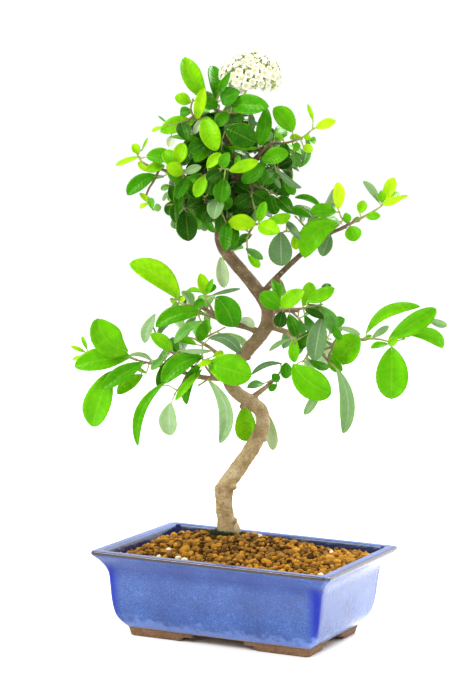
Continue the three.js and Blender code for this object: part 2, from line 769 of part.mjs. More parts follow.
function geometryOf(solid) {
  const data = solid.getMesh();
  const geometry = new THREE.BufferGeometry();
  geometry.setAttribute("position", new THREE.BufferAttribute(data.vertProperties, 3));
  geometry.setIndex(new THREE.BufferAttribute(data.triVerts, 1));
  geometry.computeVertexNormals();
  return geometry;
}

function join(solids) {
  return solids.reduce((whole, next) => whole.add(next));
}

// The largest body of a solid: loose crumbs that a cut leaves are dropped.
function largestBody(solid) {
  return solid.decompose().reduce((a, b) => (b.volume() > a.volume() ? b : a));
}

function box(x0, x1, y0, y1, z0, z1) {
  const geometry = new THREE.BoxGeometry(x1 - x0, y1 - y0, z1 - z0);
  return solidOf(geometry.translate((x0 + x1) / 2, (y0 + y1) / 2, (z0 + z1) / 2));
}

function makeMesh(name, solid, material) {
  const mesh = new THREE.Mesh(geometryOf(solid), material);
  mesh.name = name;
  return mesh;
}

// Rounded rectangle of the pot, inset from the rim's outline, at one height.
function potRing(inset, z) {
  const radius = Math.max(RIM_CORNER_RADIUS - inset * 0.1, LEAST_CORNER_RADIUS);
  const cx = RIM_LENGTH / 2 - inset - radius;
  const cy = RIM_WIDTH / 2 - inset - radius;
  const corners = [
    [cx, cy],
    [-cx, cy],
    [-cx, -cy],
    [cx, -cy],
  ];
  return corners.flatMap(([x, y], quarter) =>
    Array.from({ length: CORNER_STEPS }, (_, step) => {
      const angle = (quarter + step / (CORNER_STEPS - 1)) * (Math.PI / 2);
      return new THREE.Vector3(x + radius * Math.cos(angle), y + radius * Math.sin(angle), z);
    }),
  );
}

function makePot() {
  const outside = [potRing(OUTER_PROFILE[0].inset + 1, UNDERSIDE_Z)];
  OUTER_PROFILE.forEach((p) => outside.push(potRing(p.inset, p.z)));
  const inside = INNER_PROFILE.map((p) => potRing(p.inset, p.z));
  inside.push(potRing(INNER_PROFILE.at(-1).inset, POT_HEIGHT + 5));
  const body = solidOf(loft(outside)).subtract(solidOf(loft(inside)));

  const footTop = UNDERSIDE_Z + 1;
  const footOutside = [potRing(FOOT_INSET_BOTTOM, 0), potRing(FOOT_INSET_TOP, footTop)];
  const footInside = [
    potRing(FOOT_INSET_BOTTOM + FOOT_BREADTH, -1),
    potRing(FOOT_INSET_BOTTOM + FOOT_BREADTH, footTop + 1),
  ];
  const wide = RIM_LENGTH / 2;
  let feet = solidOf(loft(footOutside)).subtract(solidOf(loft(footInside)));
  for (const [reach, top] of [
    [0, footTop + 1],
    [FOOT_STEP_LENGTH, FOOT_STEP_Z],
  ]) {
    const gapX = FOOT_GAP.x + reach;
    const gapY = FOOT_GAP.y + reach;
    feet = feet.subtract(box(-gapX, gapX, -wide, wide, -1, top));
    feet = feet.subtract(box(-wide, wide, -gapY, gapY, -1, top));
  }
  let pot = body.add(feet);
  for (const x of [-DRAIN_X, DRAIN_X]) {
    const drill = new THREE.CylinderGeometry(DRAIN_RADIUS, DRAIN_RADIUS, POT_HEIGHT / 2, 16);
    pot = pot.subtract(solidOf(drill.rotateX(Math.PI / 2).translate(x, 0, 0)));
  }
  return pot;
}

function makeNet() {
  const half = NET_SIDE / 2;
  const top = FLOOR_Z + GAP + NET_THICKNESS;
  const opening = (NET_SIDE - NET_BAR * (NET_HOLES + 1)) / NET_HOLES;
  let net = box(-half, half, -half, half, FLOOR_Z + GAP, top);
  for (let i = 0; i < NET_HOLES; i++)
    for (let j = 0; j < NET_HOLES; j++) {
      const x = -half + NET_BAR + i * (opening + NET_BAR);
      const y = -half + NET_BAR + j * (opening + NET_BAR);
      net = net.subtract(box(x, x + opening, y, y + opening, FLOOR_Z, top + 1));
    }
  return net;
}

// Height of the soil: from the wall it rises towards the trunk.
function soilHeight(x, y) {
  const dx = x - TRUNK_PLACE.x;
  const dy = y - TRUNK_PLACE.y;
  const reachX = RIM_LENGTH / 2 - INNER_PROFILE.at(-2).inset - Math.sign(dx) * TRUNK_PLACE.x;
  const reachY = RIM_WIDTH / 2 - INNER_PROFILE.at(-2).inset - Math.sign(dy) * TRUNK_PLACE.y;
  const away = Math.min(1, Math.hypot(dx / reachX, dy / reachY));
  return SOIL_CROWN_Z - (SOIL_CROWN_Z - SOIL_EDGE_Z) * away ** SOIL_FALL;
}

// Soil mass: the pot's inside less the gap, topped by a lattice whose every third point is a granule.
function makeSoil(stemHole) {
  const rings = INNER_PROFILE.slice(0, -1).map((p, i) =>
    potRing(p.inset + GAP, i ? p.z : p.z + GAP),
  );
  rings.push(potRing(INNER_PROFILE.at(-2).inset + GAP, POT_HEIGHT + 20));
  const block = solidOf(loft(rings));

  const draw = makeDraw(77);
  const columns = Math.ceil(RIM_LENGTH / GRANULE_PITCH);
  const rowPitch = GRANULE_PITCH * Math.sin(Math.PI / 3);
  const rows = Math.ceil(RIM_WIDTH / rowPitch);
  const points = [];
  for (let j = 0; j <= rows; j++)
    for (let i = 0; i <= columns; i++) {
      const x = (i - columns / 2 + (j % 2) / 2) * GRANULE_PITCH + GRANULE_JITTER * (draw() - 0.5);
      const y = (j - rows / 2) * rowPitch + GRANULE_JITTER * (draw() - 0.5);
      const peak = (i + (j % 2 ? 2 : 0) + 3) % 3 === 0;
      const relief = peak
        ? (GRANULE_RELIEF.peak * (1 + draw())) / 2
        : -GRANULE_RELIEF.hollow * draw();
      points.push(new THREE.Vector3(x, y, soilHeight(x, y) + relief));
    }
  const top = points.length;
  points.push(...points.map((p) => new THREE.Vector3(p.x, p.y, FLOOR_Z - 5)));
  const index = [];
  const across = columns + 1;
  const at = (i, j) => j * across + i;
  const both = (a, b, c) => index.push(a, b, c, a + top, c + top, b + top);
  for (let j = 0; j < rows; j++)
    for (let i = 0; i < columns; i++) {
      if (j % 2) {
        both(at(i, j), at(i + 1, j), at(i + 1, j + 1));
        both(at(i, j), at(i + 1, j + 1), at(i, j + 1));
      } else {
        both(at(i, j), at(i + 1, j), at(i, j + 1));
        both(at(i + 1, j), at(i + 1, j + 1), at(i, j + 1));
      }
    }
  const skirt = (a, b) => index.push(a, a + top, b + top, a, b + top, b);
  for (let i = 0; i < columns; i++) {
    skirt(at(i, 0), at(i + 1, 0));
    skirt(at(i + 1, rows), at(i, rows));
  }
  for (let j = 0; j < rows; j++) {
    skirt(at(0, j + 1), at(0, j));
    skirt(at(columns, j), at(columns, j + 1));
  }
  const terrain = new THREE.BufferGeometry().setFromPoints(points);
  terrain.setIndex(index);

  let soil = block.intersect(solidOf(terrain)).subtract(stemHole);
  const pocket = NET_SIDE / 2 + GAP;
  const pocketTop = FLOOR_Z + NET_THICKNESS + 2 * GAP;
  for (const x of [-DRAIN_X, DRAIN_X])
    soil = soil.subtract(box(x - pocket, x + pocket, -pocket, pocket, FLOOR_Z, pocketTop));
  return largestBody(soil);
}

const GOLDEN_ANGLE = THREE.MathUtils.degToRad(137.5);
const UP = new THREE.Vector3(0, 0, 1);
const TO_VIEWER = new THREE.Vector3(0, -1, 0.25).normalize();

const vectorOf = (numbers) => new THREE.Vector3().fromArray(numbers);

// Round limb through points, with a radius at each and its rings turned as little as possible.
function limb(points, radii, sides) {
  const tangents = points.map((_, i) =>
    points[Math.min(i + 1, points.length - 1)].clone().sub(points[Math.max(i - 1, 0)]).normalize(),
  );
  let normal = new THREE.Vector3(1, 0.2, 0.1);
  const rings = points.map((point, i) => {
    normal = normal.addScaledVector(tangents[i], -normal.dot(tangents[i])).normalize().clone();
    const binormal = tangents[i].clone().cross(normal);
    return Array.from({ length: sides }, (_, k) => {
      const angle = (2 * Math.PI * k) / sides;
      return point
        .clone()
        .addScaledVector(normal, radii[i] * Math.cos(angle))
        .addScaledVector(binormal, radii[i] * Math.sin(angle));
    });
  });
  return solidOf(loft(rings));
}

// All the wood, or the same wood grown by a margin on every side.
function makeWood(margin) {
  const limbs = [TRUNK, ...BRANCHES].map((route, i) =>
    limb(
      route.map(vectorOf),
      route.map((point) => point[3] + margin),
      i ? BRANCH_SIDES : TRUNK_SIDES,
    ),
  );
  const knots = KNOTS.map((knot) =>
    solidOf(new THREE.IcosahedronGeometry(knot[3] + margin, 0).translate(knot[0], knot[1], knot[2])),
  );
  return join([...limbs, ...knots]);
}

// Points about every millimetre along a route of straight stretches.
function pointsAlong(route) {
  const points = [];
  for (let i = 0; i < route.length - 1; i++) {
    const steps = Math.ceil(route[i].distanceTo(route[i + 1]));
    for (let s = 0; s < steps; s++) points.push(route[i].clone().lerp(route[i + 1], s / steps));
  }
  points.push(route.at(-1).clone());
  return points;
}

// Half width of a blade, as a share of its widest, at a share of its length: widest past the middle.
const bladeShare = (t) => Math.max(0, Math.sin(Math.PI * t ** 1.2)) ** 0.62;

// Point of the rib and the blade's directions there: along it, out of its face and to its right.
function bladeFrame(leaf, t) {
  const chord = leaf.tip.clone().sub(leaf.base);
  const length = chord.length();
  const along = chord.clone().normalize();
  const face = leaf.hint.clone().addScaledVector(along, -leaf.hint.dot(along)).normalize();
  face.applyAxisAngle(along, leaf.roll);
  const right = along.clone().cross(face);
  const bend = face.clone().multiplyScalar(leaf.bow).addScaledVector(right, leaf.sideBow);
  const control = leaf.base.clone().lerp(leaf.tip, 0.5).addScaledVector(bend, 2 * length);
  const point = leaf.base.clone().multiplyScalar((1 - t) ** 2);
  point.addScaledVector(control, 2 * t * (1 - t)).addScaledVector(leaf.tip, t * t);
  const heading = control.clone().sub(leaf.base).multiplyScalar(1 - t);
  heading.addScaledVector(leaf.tip.clone().sub(control), t).normalize();
  const normal = face.addScaledVector(heading, -face.dot(heading)).normalize();
  return { point, heading, normal, right: heading.clone().cross(normal) };
}

// Point of the blade at a share of its length and of its half width.
function bladePoint(leaf, t, v) {
  const { point, normal, right } = bladeFrame(leaf, t);
  const reach = (leaf.width / 2) * bladeShare(t);
  point.addScaledVector(right, v * reach * Math.cos(BLADE_FOLD));
  return point.addScaledVector(normal, Math.abs(v) * reach * Math.sin(BLADE_FOLD));
}

function bladeSamples(leaf) {
  return SAMPLE_STATIONS.flatMap((t) => SAMPLE_SPREAD.map((v) => bladePoint(leaf, t, v)));
}

// Petiole and blade as one three-sided section: two thin edges and the rib below.
function makeLeaf(leaf) {
  const length = leaf.base.distanceTo(leaf.tip);
  const stations = length < SMALL_BLADE_LENGTH ? SMALL_BLADE_STATIONS : BLADE_STATIONS;
  const start = bladeFrame(leaf, 0);
  const half = PETIOLE_WIDTH / 2;
  const section = (point, right, normal, reach, lift, depth) => [
    point.clone().addScaledVector(right, -reach).addScaledVector(normal, lift),
    point.clone().addScaledVector(right, reach).addScaledVector(normal, lift),
    point.clone().addScaledVector(normal, -depth),
  ];
  const rings = [section(leaf.root, start.right, start.normal, half, half / 2, half)];
  for (const t of stations) {
    const { point, normal, right } = bladeFrame(leaf, t);
    const reach = Math.max(half, (leaf.width / 2) * bladeShare(t));
    const out = reach * Math.cos(BLADE_FOLD);
    rings.push(section(point, right, normal, out, reach * Math.sin(BLADE_FOLD), RIB_DEPTH));
  }
  return solidOf(loft(rings, undefined, leaf.tip));
}

// A leaf as read from the front: its root is the nearest place on the shoot's twigs.
function leafFromFront(shoot, row, shift) {
  const [baseAcross, baseUp, tipAcross, tipUp, width, depth, roll = 0, bow = DEFAULT_BOW, sideBow = 0] = row;
  const away = (p) => Math.hypot(p.x - baseAcross, p.z - baseUp);
  const root = shoot.points.reduce((best, p) => (away(p) < away(best) ? p : best));
  const tipDepth = root.y + depth + shift;
  return {
    root,
    base: new THREE.Vector3(baseAcross, root.y + BASE_DEPTH_SHARE * (depth + shift), baseUp),
    tip: new THREE.Vector3(tipAcross, tipDepth, tipUp),
    width,
    hint: TO_VIEWER,
    roll: THREE.MathUtils.degToRad(roll),
    bow,
    sideBow,
  };
}

// A further leaf on a twig, turned round the twig from the one before it.
function leafOnSpiral(twig, share, angle, length, width, roll) {
  const step = (twig.length - 1) * share;
  const root = twig[Math.round(step)];
  const ahead = twig[Math.min(twig.length - 1, Math.round(step) + 2)];
  const behind = twig[Math.max(0, Math.round(step) - 2)];
  const heading = ahead.clone().sub(behind).normalize();
  const level = heading.clone().cross(UP).normalize();
  const rise = level.clone().cross(heading);
  const way = heading.multiplyScalar(SPIRAL_WAY.ahead);
  way.addScaledVector(level, SPIRAL_WAY.out * Math.cos(angle));
  way.addScaledVector(rise, SPIRAL_WAY.out * Math.sin(angle));
  way.addScaledVector(UP, SPIRAL_WAY.up).normalize();
  const base = root.clone().addScaledVector(way, PETIOLE_LENGTH);
  const tip = base.clone().addScaledVector(way, length).addScaledVector(UP, -SPIRAL_DROOP * length);
  const outward = new THREE.Vector3(root.x, root.y, 0).normalize();
  const hint = UP.clone().addScaledVector(outward, 0.5).normalize();
  return { root, base, tip, width, hint, roll, bow: DEFAULT_BOW, sideBow: 0 };
}

// What a new leaf has to keep clear of: points with the distance each needs, by the shoot they belong to.
const obstacles = [];

function addObstacles(points, owner, need, ownNeed) {
  points.forEach((point) => obstacles.push({ point, owner, need, ownNeed }));
}

const isClearOfWood = (place) =>
  obstacles.every(
    ({ point, owner, need }) => owner !== "wood" || point.distanceTo(place) > need - WOOD_ROOM + TWIG_CLEAR,
  );

// The least room that a leaf has left, below zero where it comes too near.
function roomOf(leaf, owner) {
  const samples = bladeSamples(leaf);
  let room = Infinity;
  for (const { point, owner: other, need, ownNeed } of obstacles) {
    const wanted = other === owner ? ownNeed : need;
    if (wanted <= 0 || leaf.base.distanceTo(point) > FAR_FROM_LEAF) continue;
    for (const sample of samples) {
      const dx = sample.x - point.x;
      const dy = sample.y - point.y;
      const dz = sample.z - point.z;
      room = Math.min(room, Math.sqrt(dx * dx + dy * dy + dz * dz) - wanted);
    }
  }
  return room;
}

// The first choice that has room, or the one with the most.
function bestOf(choices, owner) {
  let best = null;
  for (const leaf of choices) {
    const room = roomOf(leaf, owner);
    if (!best || room > best.room) best = { leaf, room };
    if (room >= 0) break;
  }
  return best;
}

// Every shoot's twigs and leaves, placed clear of the wood and of each other.
function placeShoots() {
  for (const route of [TRUNK, ...BRANCHES])
    for (let i = 0; i < route.length - 1; i++) {
      const pair = [vectorOf(route[i]), vectorOf(route[i + 1])];
      const radius = Math.max(route[i][3], route[i + 1][3]);
      addObstacles(pointsAlong(pair), "wood", radius + WOOD_ROOM, 0);
    }
  const stalk = pointsAlong(FLOWER_STALK.map(vectorOf));
  addObstacles(stalk, "flower", TWIG_ROOM, 0);
  addObstacles([vectorOf(DOME_CENTRE)], "flower", DOME_RADII[0] + FLOWER_ROOM, 0);
  const shoots = SHOOTS.map((given) => {
    const routes = given.twigs.map((twig) => twig.map(vectorOf));
    const lines = routes.map(pointsAlong);
    lines.forEach((line) => addObstacles(line, given.name, TWIG_ROOM, 0));
    const points = lines.flat().filter(isClearOfWood);
    return { ...given, routes, lines, points, placed: [] };
  });
  const keep = (shoot, leaf) => {
    shoot.placed.push(leaf);
    addObstacles(bladeSamples(leaf), shoot.name, LEAF_ROOM, OWN_LEAF_ROOM);
  };
  for (const shoot of shoots)
    for (const row of shoot.leaves) {
      const choices = DEPTH_SHIFTS.map((shift) => leafFromFront(shoot, row, shift));
      keep(shoot, bestOf(choices, shoot.name).leaf);
    }
  const draw = makeDraw(SPIRAL_SEED);
  for (const shoot of shoots)
    for (let k = 0; k < shoot.more; k++) {
      const line = shoot.lines[k % shoot.lines.length];
      const twig = line.filter(isClearOfWood);
      const turns = Math.ceil(shoot.more / shoot.lines.length);
      const turn = Math.floor(k / shoot.lines.length);
      const share = SPIRAL_START + ((1 - SPIRAL_START) * (turn + draw())) / turns;
      const length = SPIRAL_LENGTH.least + SPIRAL_LENGTH.spread * draw();
      const width = length * (SPIRAL_WIDTH_SHARE.least + SPIRAL_WIDTH_SHARE.spread * draw());
      const roll = (draw() - 0.5) * SPIRAL_ROLL;
      const first = k * GOLDEN_ANGLE + draw();
      const behind = shoot.leaves.length > 1 ? SPIRAL_BEHIND.leafy : SPIRAL_BEHIND.bare;
      const choices = TURN_TRIES.map((degrees) => {
        const angle = first + THREE.MathUtils.degToRad(degrees);
        return leafOnSpiral(twig, share, angle, length, width, roll);
      }).filter((leaf) => leaf.tip.y > leaf.root.y + behind);
      const best = bestOf(choices, shoot.name);
      if (best && best.room >= 0) keep(shoot, best.leaf);
    }
  return shoots;
}

function makeShoot(shoot, woodWithGap) {
  const twigs = shoot.routes.map((route, i) => {
    const thick = i ? TWIG_RADIUS.tip : TWIG_RADIUS.base;
    const radii = route.map((_, k) => thick + ((TWIG_RADIUS.tip - thick) * k) / (route.length - 1));
    return limb(route, radii, TWIG_SIDES);
  });
  return largestBody(join([...twigs, ...shoot.placed.map(makeLeaf)]).subtract(woodWithGap));
}

// Flower head: star-shaped florets on short pedicels all over a dome, round a smaller core.
function makeFlowerHead(woodWithGap) {
  const centre = vectorOf(DOME_CENTRE);
  const radii = vectorOf(DOME_RADII);
  const core = new THREE.IcosahedronGeometry(DOME_CORE_SHARE, 1);
  core.scale(radii.x, radii.y, radii.z).translate(centre.x, centre.y, centre.z);
  const stalk = limb(FLOWER_STALK.map(vectorOf), FLOWER_STALK.map((p) => p[3]), 5);
  const pieces = [solidOf(core), stalk];
  for (let k = 0; k < FLORETS; k++) {
    const height = 1 - ((1 - DOME_LOWEST) * (k + 0.5)) / FLORETS;
    const ring = Math.sqrt(1 - height * height);
    const way = new THREE.Vector3(
      ring * Math.cos(k * GOLDEN_ANGLE),
      ring * Math.sin(k * GOLDEN_ANGLE),
      height,
    );
    const seat = centre.clone().add(way.clone().multiply(radii));
    const outward = way.clone().divide(radii).normalize();
    const side = outward.clone().cross(new THREE.Vector3(0.3, 0.2, 1)).normalize();
    const other = outward.clone().cross(side);
    const star = Array.from({ length: 10 }, (_, i) => {
      const angle = (i * Math.PI) / 5 + k;
      const reach = i % 2 ? FLORET_NOTCH : FLORET_RADIUS;
      return seat
        .clone()
        .addScaledVector(side, reach * Math.cos(angle))
        .addScaledVector(other, reach * Math.sin(angle));
    });
    const cup = seat.clone().addScaledVector(outward, -FLORET_DEPTH);
    const top = seat.clone().addScaledVector(outward, -FLORET_HOLLOW);
    pieces.push(solidOf(loft([star], cup, top)));
    const foot = centre.clone().lerp(seat, PEDICEL_START);
    pieces.push(limb([foot, cup.clone().lerp(top, 0.5)], [PEDICEL_RADIUS, PEDICEL_RADIUS], 3));
  }
  return largestBody(join(pieces).subtract(woodWithGap));
}

// Glazed clay, damp fired granules, bark, leaves and petals.
const glaze = new THREE.MeshStandardMaterial({ color: 0x2f4fae, roughness: 0.15 });
const plastic = new THREE.MeshStandardMaterial({ color: 0x1c1f1c, roughness: 0.6 });
const granules = new THREE.MeshStandardMaterial({ color: 0x9a6a2c, roughness: 0.95 });
const bark = new THREE.MeshStandardMaterial({ color: 0x94785a, roughness: 0.9 });
const foliage = new THREE.MeshStandardMaterial({ color: 0x5fae12, roughness: 0.35 });
const petals = new THREE.MeshStandardMaterial({ color: 0xf6f4e2, roughness: 0.6 });

const bonsai = new THREE.Group();
bonsai.add(makeMesh("pot", makePot(), glaze));
[-DRAIN_X, DRAIN_X].forEach((x, i) => {
  const net = makeMesh(`drainage_net_${i + 1}`, makeNet(), plastic);
  net.position.x = x;
  bonsai.add(net);
});

const tree = new THREE.Group();
tree.position.set(TRUNK_PLACE.x, TRUNK_PLACE.y, 0);
tree.rotation.z = TREE_TURN;
tree.updateMatrix();
bonsai.add(tree);

const wood = makeWood(0);
const woodWithGap = makeWood(GAP + 0.1);
tree.add(makeMesh("wood", wood, bark));
const stemHole = geometryOf(woodWithGap).applyMatrix4(tree.matrix);
bonsai.add(makeMesh("soil", makeSoil(solidOf(stemHole)), granules));
for (const shoot of placeShoots())
  tree.add(makeMesh(shoot.name, makeShoot(shoot, woodWithGap), foliage));
tree.add(makeMesh("flower_head", makeFlowerHead(woodWithGap), petals));

// The origin is the middle of the whole object's footprint, on the surface that the pot stands on.
bonsai.updateMatrixWorld(true);
const middle = new THREE.Box3().setFromObject(bonsai, true).getCenter(new THREE.Vector3());
const part = new THREE.Group();
part.add(bonsai);
bonsai.position.set(-middle.x, -middle.y, 0);

export default part;
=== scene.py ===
"""A firethorn bonsai in a blue glazed pot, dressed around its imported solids. Metres, +Z up."""

import math

import bpy
import numpy as np
from mathutils import Matrix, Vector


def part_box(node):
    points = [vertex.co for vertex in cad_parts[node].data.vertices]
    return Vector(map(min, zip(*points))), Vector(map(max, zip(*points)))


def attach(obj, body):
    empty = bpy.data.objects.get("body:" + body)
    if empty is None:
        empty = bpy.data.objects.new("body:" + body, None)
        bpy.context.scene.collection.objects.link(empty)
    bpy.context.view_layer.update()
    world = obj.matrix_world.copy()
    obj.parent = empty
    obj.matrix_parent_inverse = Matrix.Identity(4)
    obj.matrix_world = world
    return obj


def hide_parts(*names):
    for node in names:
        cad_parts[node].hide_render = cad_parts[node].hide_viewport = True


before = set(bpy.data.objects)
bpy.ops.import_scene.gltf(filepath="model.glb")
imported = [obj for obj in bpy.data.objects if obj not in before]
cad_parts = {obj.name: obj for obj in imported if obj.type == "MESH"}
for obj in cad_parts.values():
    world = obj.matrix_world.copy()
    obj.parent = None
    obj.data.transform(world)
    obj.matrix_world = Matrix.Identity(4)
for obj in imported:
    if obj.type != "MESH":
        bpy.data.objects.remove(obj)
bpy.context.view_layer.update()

# Camera: it stands to the right of the pot's front at about the height of the crown, some 1.75 m away,
# with a long lens. Its place is counted from the middle of the pot, and its turn is in degrees.
CAMERA_PLACE, LENS, SENSOR = [0.6973, -1.5464, 0.3931], 138.7, 36.0
VIEW_TURN, VIEW_DROP, VIEW_ROLL = 24.840, 6.557, 1.233
pot_low, pot_high = (np.array(corner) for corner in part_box("pot"))
pot_middle = np.array([*(pot_low + pot_high)[:2] / 2, 0.0])
camera_data = bpy.data.cameras.new("camera")
camera_data.lens = LENS
camera_data.sensor_width = SENSOR
camera = bpy.data.objects.new("camera", camera_data)
camera.matrix_world = (
    Matrix.Translation(pot_middle + CAMERA_PLACE)
    @ Matrix.Rotation(math.radians(VIEW_TURN), 4, "Z")
    @ Matrix.Rotation(math.radians(90 - VIEW_DROP), 4, "X")
    @ Matrix.Rotation(math.radians(VIEW_ROLL), 4, "Z")
)
bpy.context.scene.collection.objects.link(camera)
bpy.context.scene.camera = camera


# Pot body: slip-cast stoneware, a rounded rectangle with a flared flat lip, a hollow neck and a belly
# that pulls in to the foot. It is dipped in a cobalt glaze that runs thin and brown on the lip's edge.
POT_LENGTH, POT_WIDTH = 0.170, 0.124
CORNER_RADIUS, LEAST_CORNER = 0.0045, 0.0025
HOLE_RADIUS, HOLE_FROM_MIDDLE, HOLE_DEPTH = 0.007, 0.036, 0.02
# (inset from the lip's outline, height) in millimetres, from under the belly over the lip to the floor
POT_PROFILE = [
    (26, 5.5), (20.2, 5.5), (19.2, 6.2), (16.9, 8.5), (14.1, 12), (12.3, 16), (10.7, 24), (9.7, 36),
    (9.0, 43), (7.2, 47), (4.8, 50.5), (2.4, 53), (0.6, 54.6), (0.0, 55.6), (0.0, 57.2), (0.7, 58),
    (6.4, 58), (7.4, 57.2), (9.4, 50.5), (14.4, 34), (18.8, 15.5), (21, 11.6), (24, 10.5), (30, 10.5),
]


def corner_cut(points, times):
    """Each pass replaces every side of an open line by the quarter points of that side, which turns
    the corners into short curves; the two end points stay."""
    points = np.array(points, float)
    for _ in range(times):
        near = 0.75 * points[:-1] + 0.25 * points[1:]
        far = 0.25 * points[:-1] + 0.75 * points[1:]
        middle = np.stack([near, far], 1).reshape(-1, points.shape[1])
        points = np.vstack([points[:1], middle, points[-1:]])
    return points


def pot_outline(inset, arc_steps=9, side_steps=16):
    """A rounded rectangle seen from above, for an array of insets: each quarter turns about a corner's
    centre by the angle, at a radius that shrinks slowly with the inset; between quarters the points are
    spaced evenly along the straight sides."""
    inset = np.asarray(inset, float)[:, None]
    radius = np.maximum(CORNER_RADIUS - inset * 0.1, LEAST_CORNER)
    centre_x = POT_LENGTH / 2 - inset - radius
    centre_y = POT_WIDTH / 2 - inset - radius
    arcs = []
    for quarter, (sx, sy) in enumerate([(1, 1), (-1, 1), (-1, -1), (1, -1)]):
        angle = (quarter + np.linspace(0, 1, arc_steps)) * math.pi / 2
        arc_x, arc_y = sx * centre_x + radius * np.cos(angle), sy * centre_y + radius * np.sin(angle)
        arcs.append(np.stack([arc_x, arc_y], -1))
    loop = []
    for here, after in zip(arcs, arcs[1:] + arcs[:1]):
        share = (np.arange(1, side_steps) / side_steps)[None, :, None]
        loop += [here, here[:, -1:] * (1 - share) + after[:, :1] * share]
    return np.concatenate(loop, 1)


def make_piece(name, points, faces, materials, smooth=True):
    """A mesh object from points and faces, made part of the object's one body."""
    mesh = bpy.data.meshes.new(name)
    mesh.from_pydata(points.reshape(-1, 3).tolist(), [], faces)
    for material in materials:
        mesh.materials.append(material)
    if smooth:
        mesh.shade_smooth()
    piece = bpy.data.objects.new(name, mesh)
    bpy.context.scene.collection.objects.link(piece)
    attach(piece, "root")
    return piece


def ring_faces(rings, columns, start=0):
    """Four-sided faces between successive rings, with one flat face at each end."""
    number = start + np.arange(rings * columns).reshape(rings, columns)
    after = np.roll(number, -1, 1)
    cells = np.stack([number[:-1], after[:-1], after[1:], number[1:]], -1).reshape(-1, 4).tolist()
    return cells + [number[0, ::-1].tolist(), number[-1].tolist()]


def surface(name, grids, material):
    """One piece from grids of points whose rows are rings."""
    faces, start = [], 0
    for grid in grids:
        faces += ring_faces(*grid.shape[:2], start)
        start += grid.shape[0] * grid.shape[1]
    return make_piece(name, np.concatenate([grid.reshape(-1, 3) for grid in grids]), faces, [material])


class Finish:
    """A node material built step by step around one Principled shader."""

    def __init__(self, name, **plain):
        self.material = bpy.data.materials.new(name)
        self.material.use_nodes = True
        self.tree = self.material.node_tree
        self.shader = self.tree.nodes["Principled BSDF"]
        for socket, value in plain.items():
            self.shader.inputs[socket.replace("_", " ")].default_value = value

    def fill(self, socket, value):
        """Gives a socket a value, a colour or another node's output."""
        if isinstance(value, bpy.types.NodeSocket):
            self.tree.links.new(value, socket)
        else:
            socket.default_value = (*value, 1) if isinstance(value, tuple) else value

    def put(self, socket, value):
        self.fill(self.shader.inputs[socket], value)

    def node(self, kind, output=0, inputs=(), **settings):
        """A new node; inputs maps its sockets to values or to other nodes' outputs."""
        made = self.tree.nodes.new("ShaderNode" + kind)
        for key, value in settings.items():
            setattr(made, key, value)
        for key, value in dict(inputs).items():
            self.fill(made.inputs[key], value)
        return made.outputs[output]

    def place(self, axis=None):
        """A point's place on the object, or one of its three numbers."""
        spot = self.node("TexCoord", "Object")
        return spot if axis is None else self.node("SeparateXYZ", axis, {0: spot})

    def value(self, name):
        """A number kept with each point of the mesh."""
        return self.node("Attribute", 2, attribute_name=name)

    def reckon(self, operation, first, second=0.0):
        """One step of arithmetic on one or two values."""
        return self.node("Math", 0, {0: first, 1: second}, operation=operation)

    def plus(self, first, second):
        return self.reckon("ADD", first, second)

    def times(self, product, *others):
        for value in others:
            product = self.reckon("MULTIPLY", product, value)
        return product

    def noise(self, size, detail=3.0, roughness=0.55):
        """Cloudy noise whose lumps are about size metres across."""
        inputs = {"Vector": self.place(), "Scale": 1 / size, "Detail": detail, "Roughness": roughness}
        return self.node("TexNoise", 0, inputs)

    def scale(self, value, low, high, to_low=0.0, to_high=1.0):
        """A value moved from one range to another, and kept inside it."""
        inputs = {"Value": value, "From Min": low, "From Max": high, "To Min": to_low, "To Max": to_high}
        return self.node("MapRange", 0, inputs, clamp=True)

    def ramp(self, factor, stops):
        """Colours or grey levels between the given positions."""
        made = self.tree.nodes.new("ShaderNodeValToRGB")
        band = made.color_ramp
        while len(band.elements) < len(stops):
            band.elements.new(0.5)
        for element, (position, colour) in zip(band.elements, stops):
            element.position = position
            element.color = (*colour, 1) if isinstance(colour, tuple) else (colour, colour, colour, 1)
        self.tree.links.new(factor, made.inputs["Fac"])
        return made.outputs["Color"]

    def mix(self, factor, first, second, most=None):
        """From the first colour to the second by the factor, or by the given share of it at most."""
        made = self.tree.nodes.new("ShaderNodeMix")
        made.data_type = "RGBA"
        factor = self.times(factor, most) if most else factor
        for key, value in (("Factor_Float", factor), ("A_Color", first), ("B_Color", second)):
            self.fill(next(socket for socket in made.inputs if socket.identifier == key), value)
        return next(socket for socket in made.outputs if socket.identifier == "Result_Color")

    def bump(self, height, depth, under=None):
        """Relief of a given depth in metres, over another relief if one is given."""
        inputs = {"Height": height, "Distance": depth}
        return self.node("Bump", 0, inputs | ({"Normal": under} if under else {}))


glaze = Finish("cobalt_glaze")
x, y, z = (glaze.place(axis) for axis in range(3))
from_middle_x = glaze.reckon("ABSOLUTE", glaze.reckon("SUBTRACT", x, pot_middle[0]))
from_middle_y = glaze.reckon("ABSOLUTE", glaze.reckon("SUBTRACT", y, pot_middle[1]))
speckle = glaze.noise(0.0009, 4.0, 0.7)
mottle = glaze.plus(speckle, glaze.times(glaze.noise(0.022, 3.0, 0.6), 0.45))
colour = glaze.ramp(
    glaze.scale(mottle, 0.50, 0.92),
    [(0.0, (0.010, 0.032, 0.145)), (0.42, (0.020, 0.060, 0.235)), (0.72, (0.034, 0.090, 0.31)),
     (1.0, (0.075, 0.15, 0.40))],
)
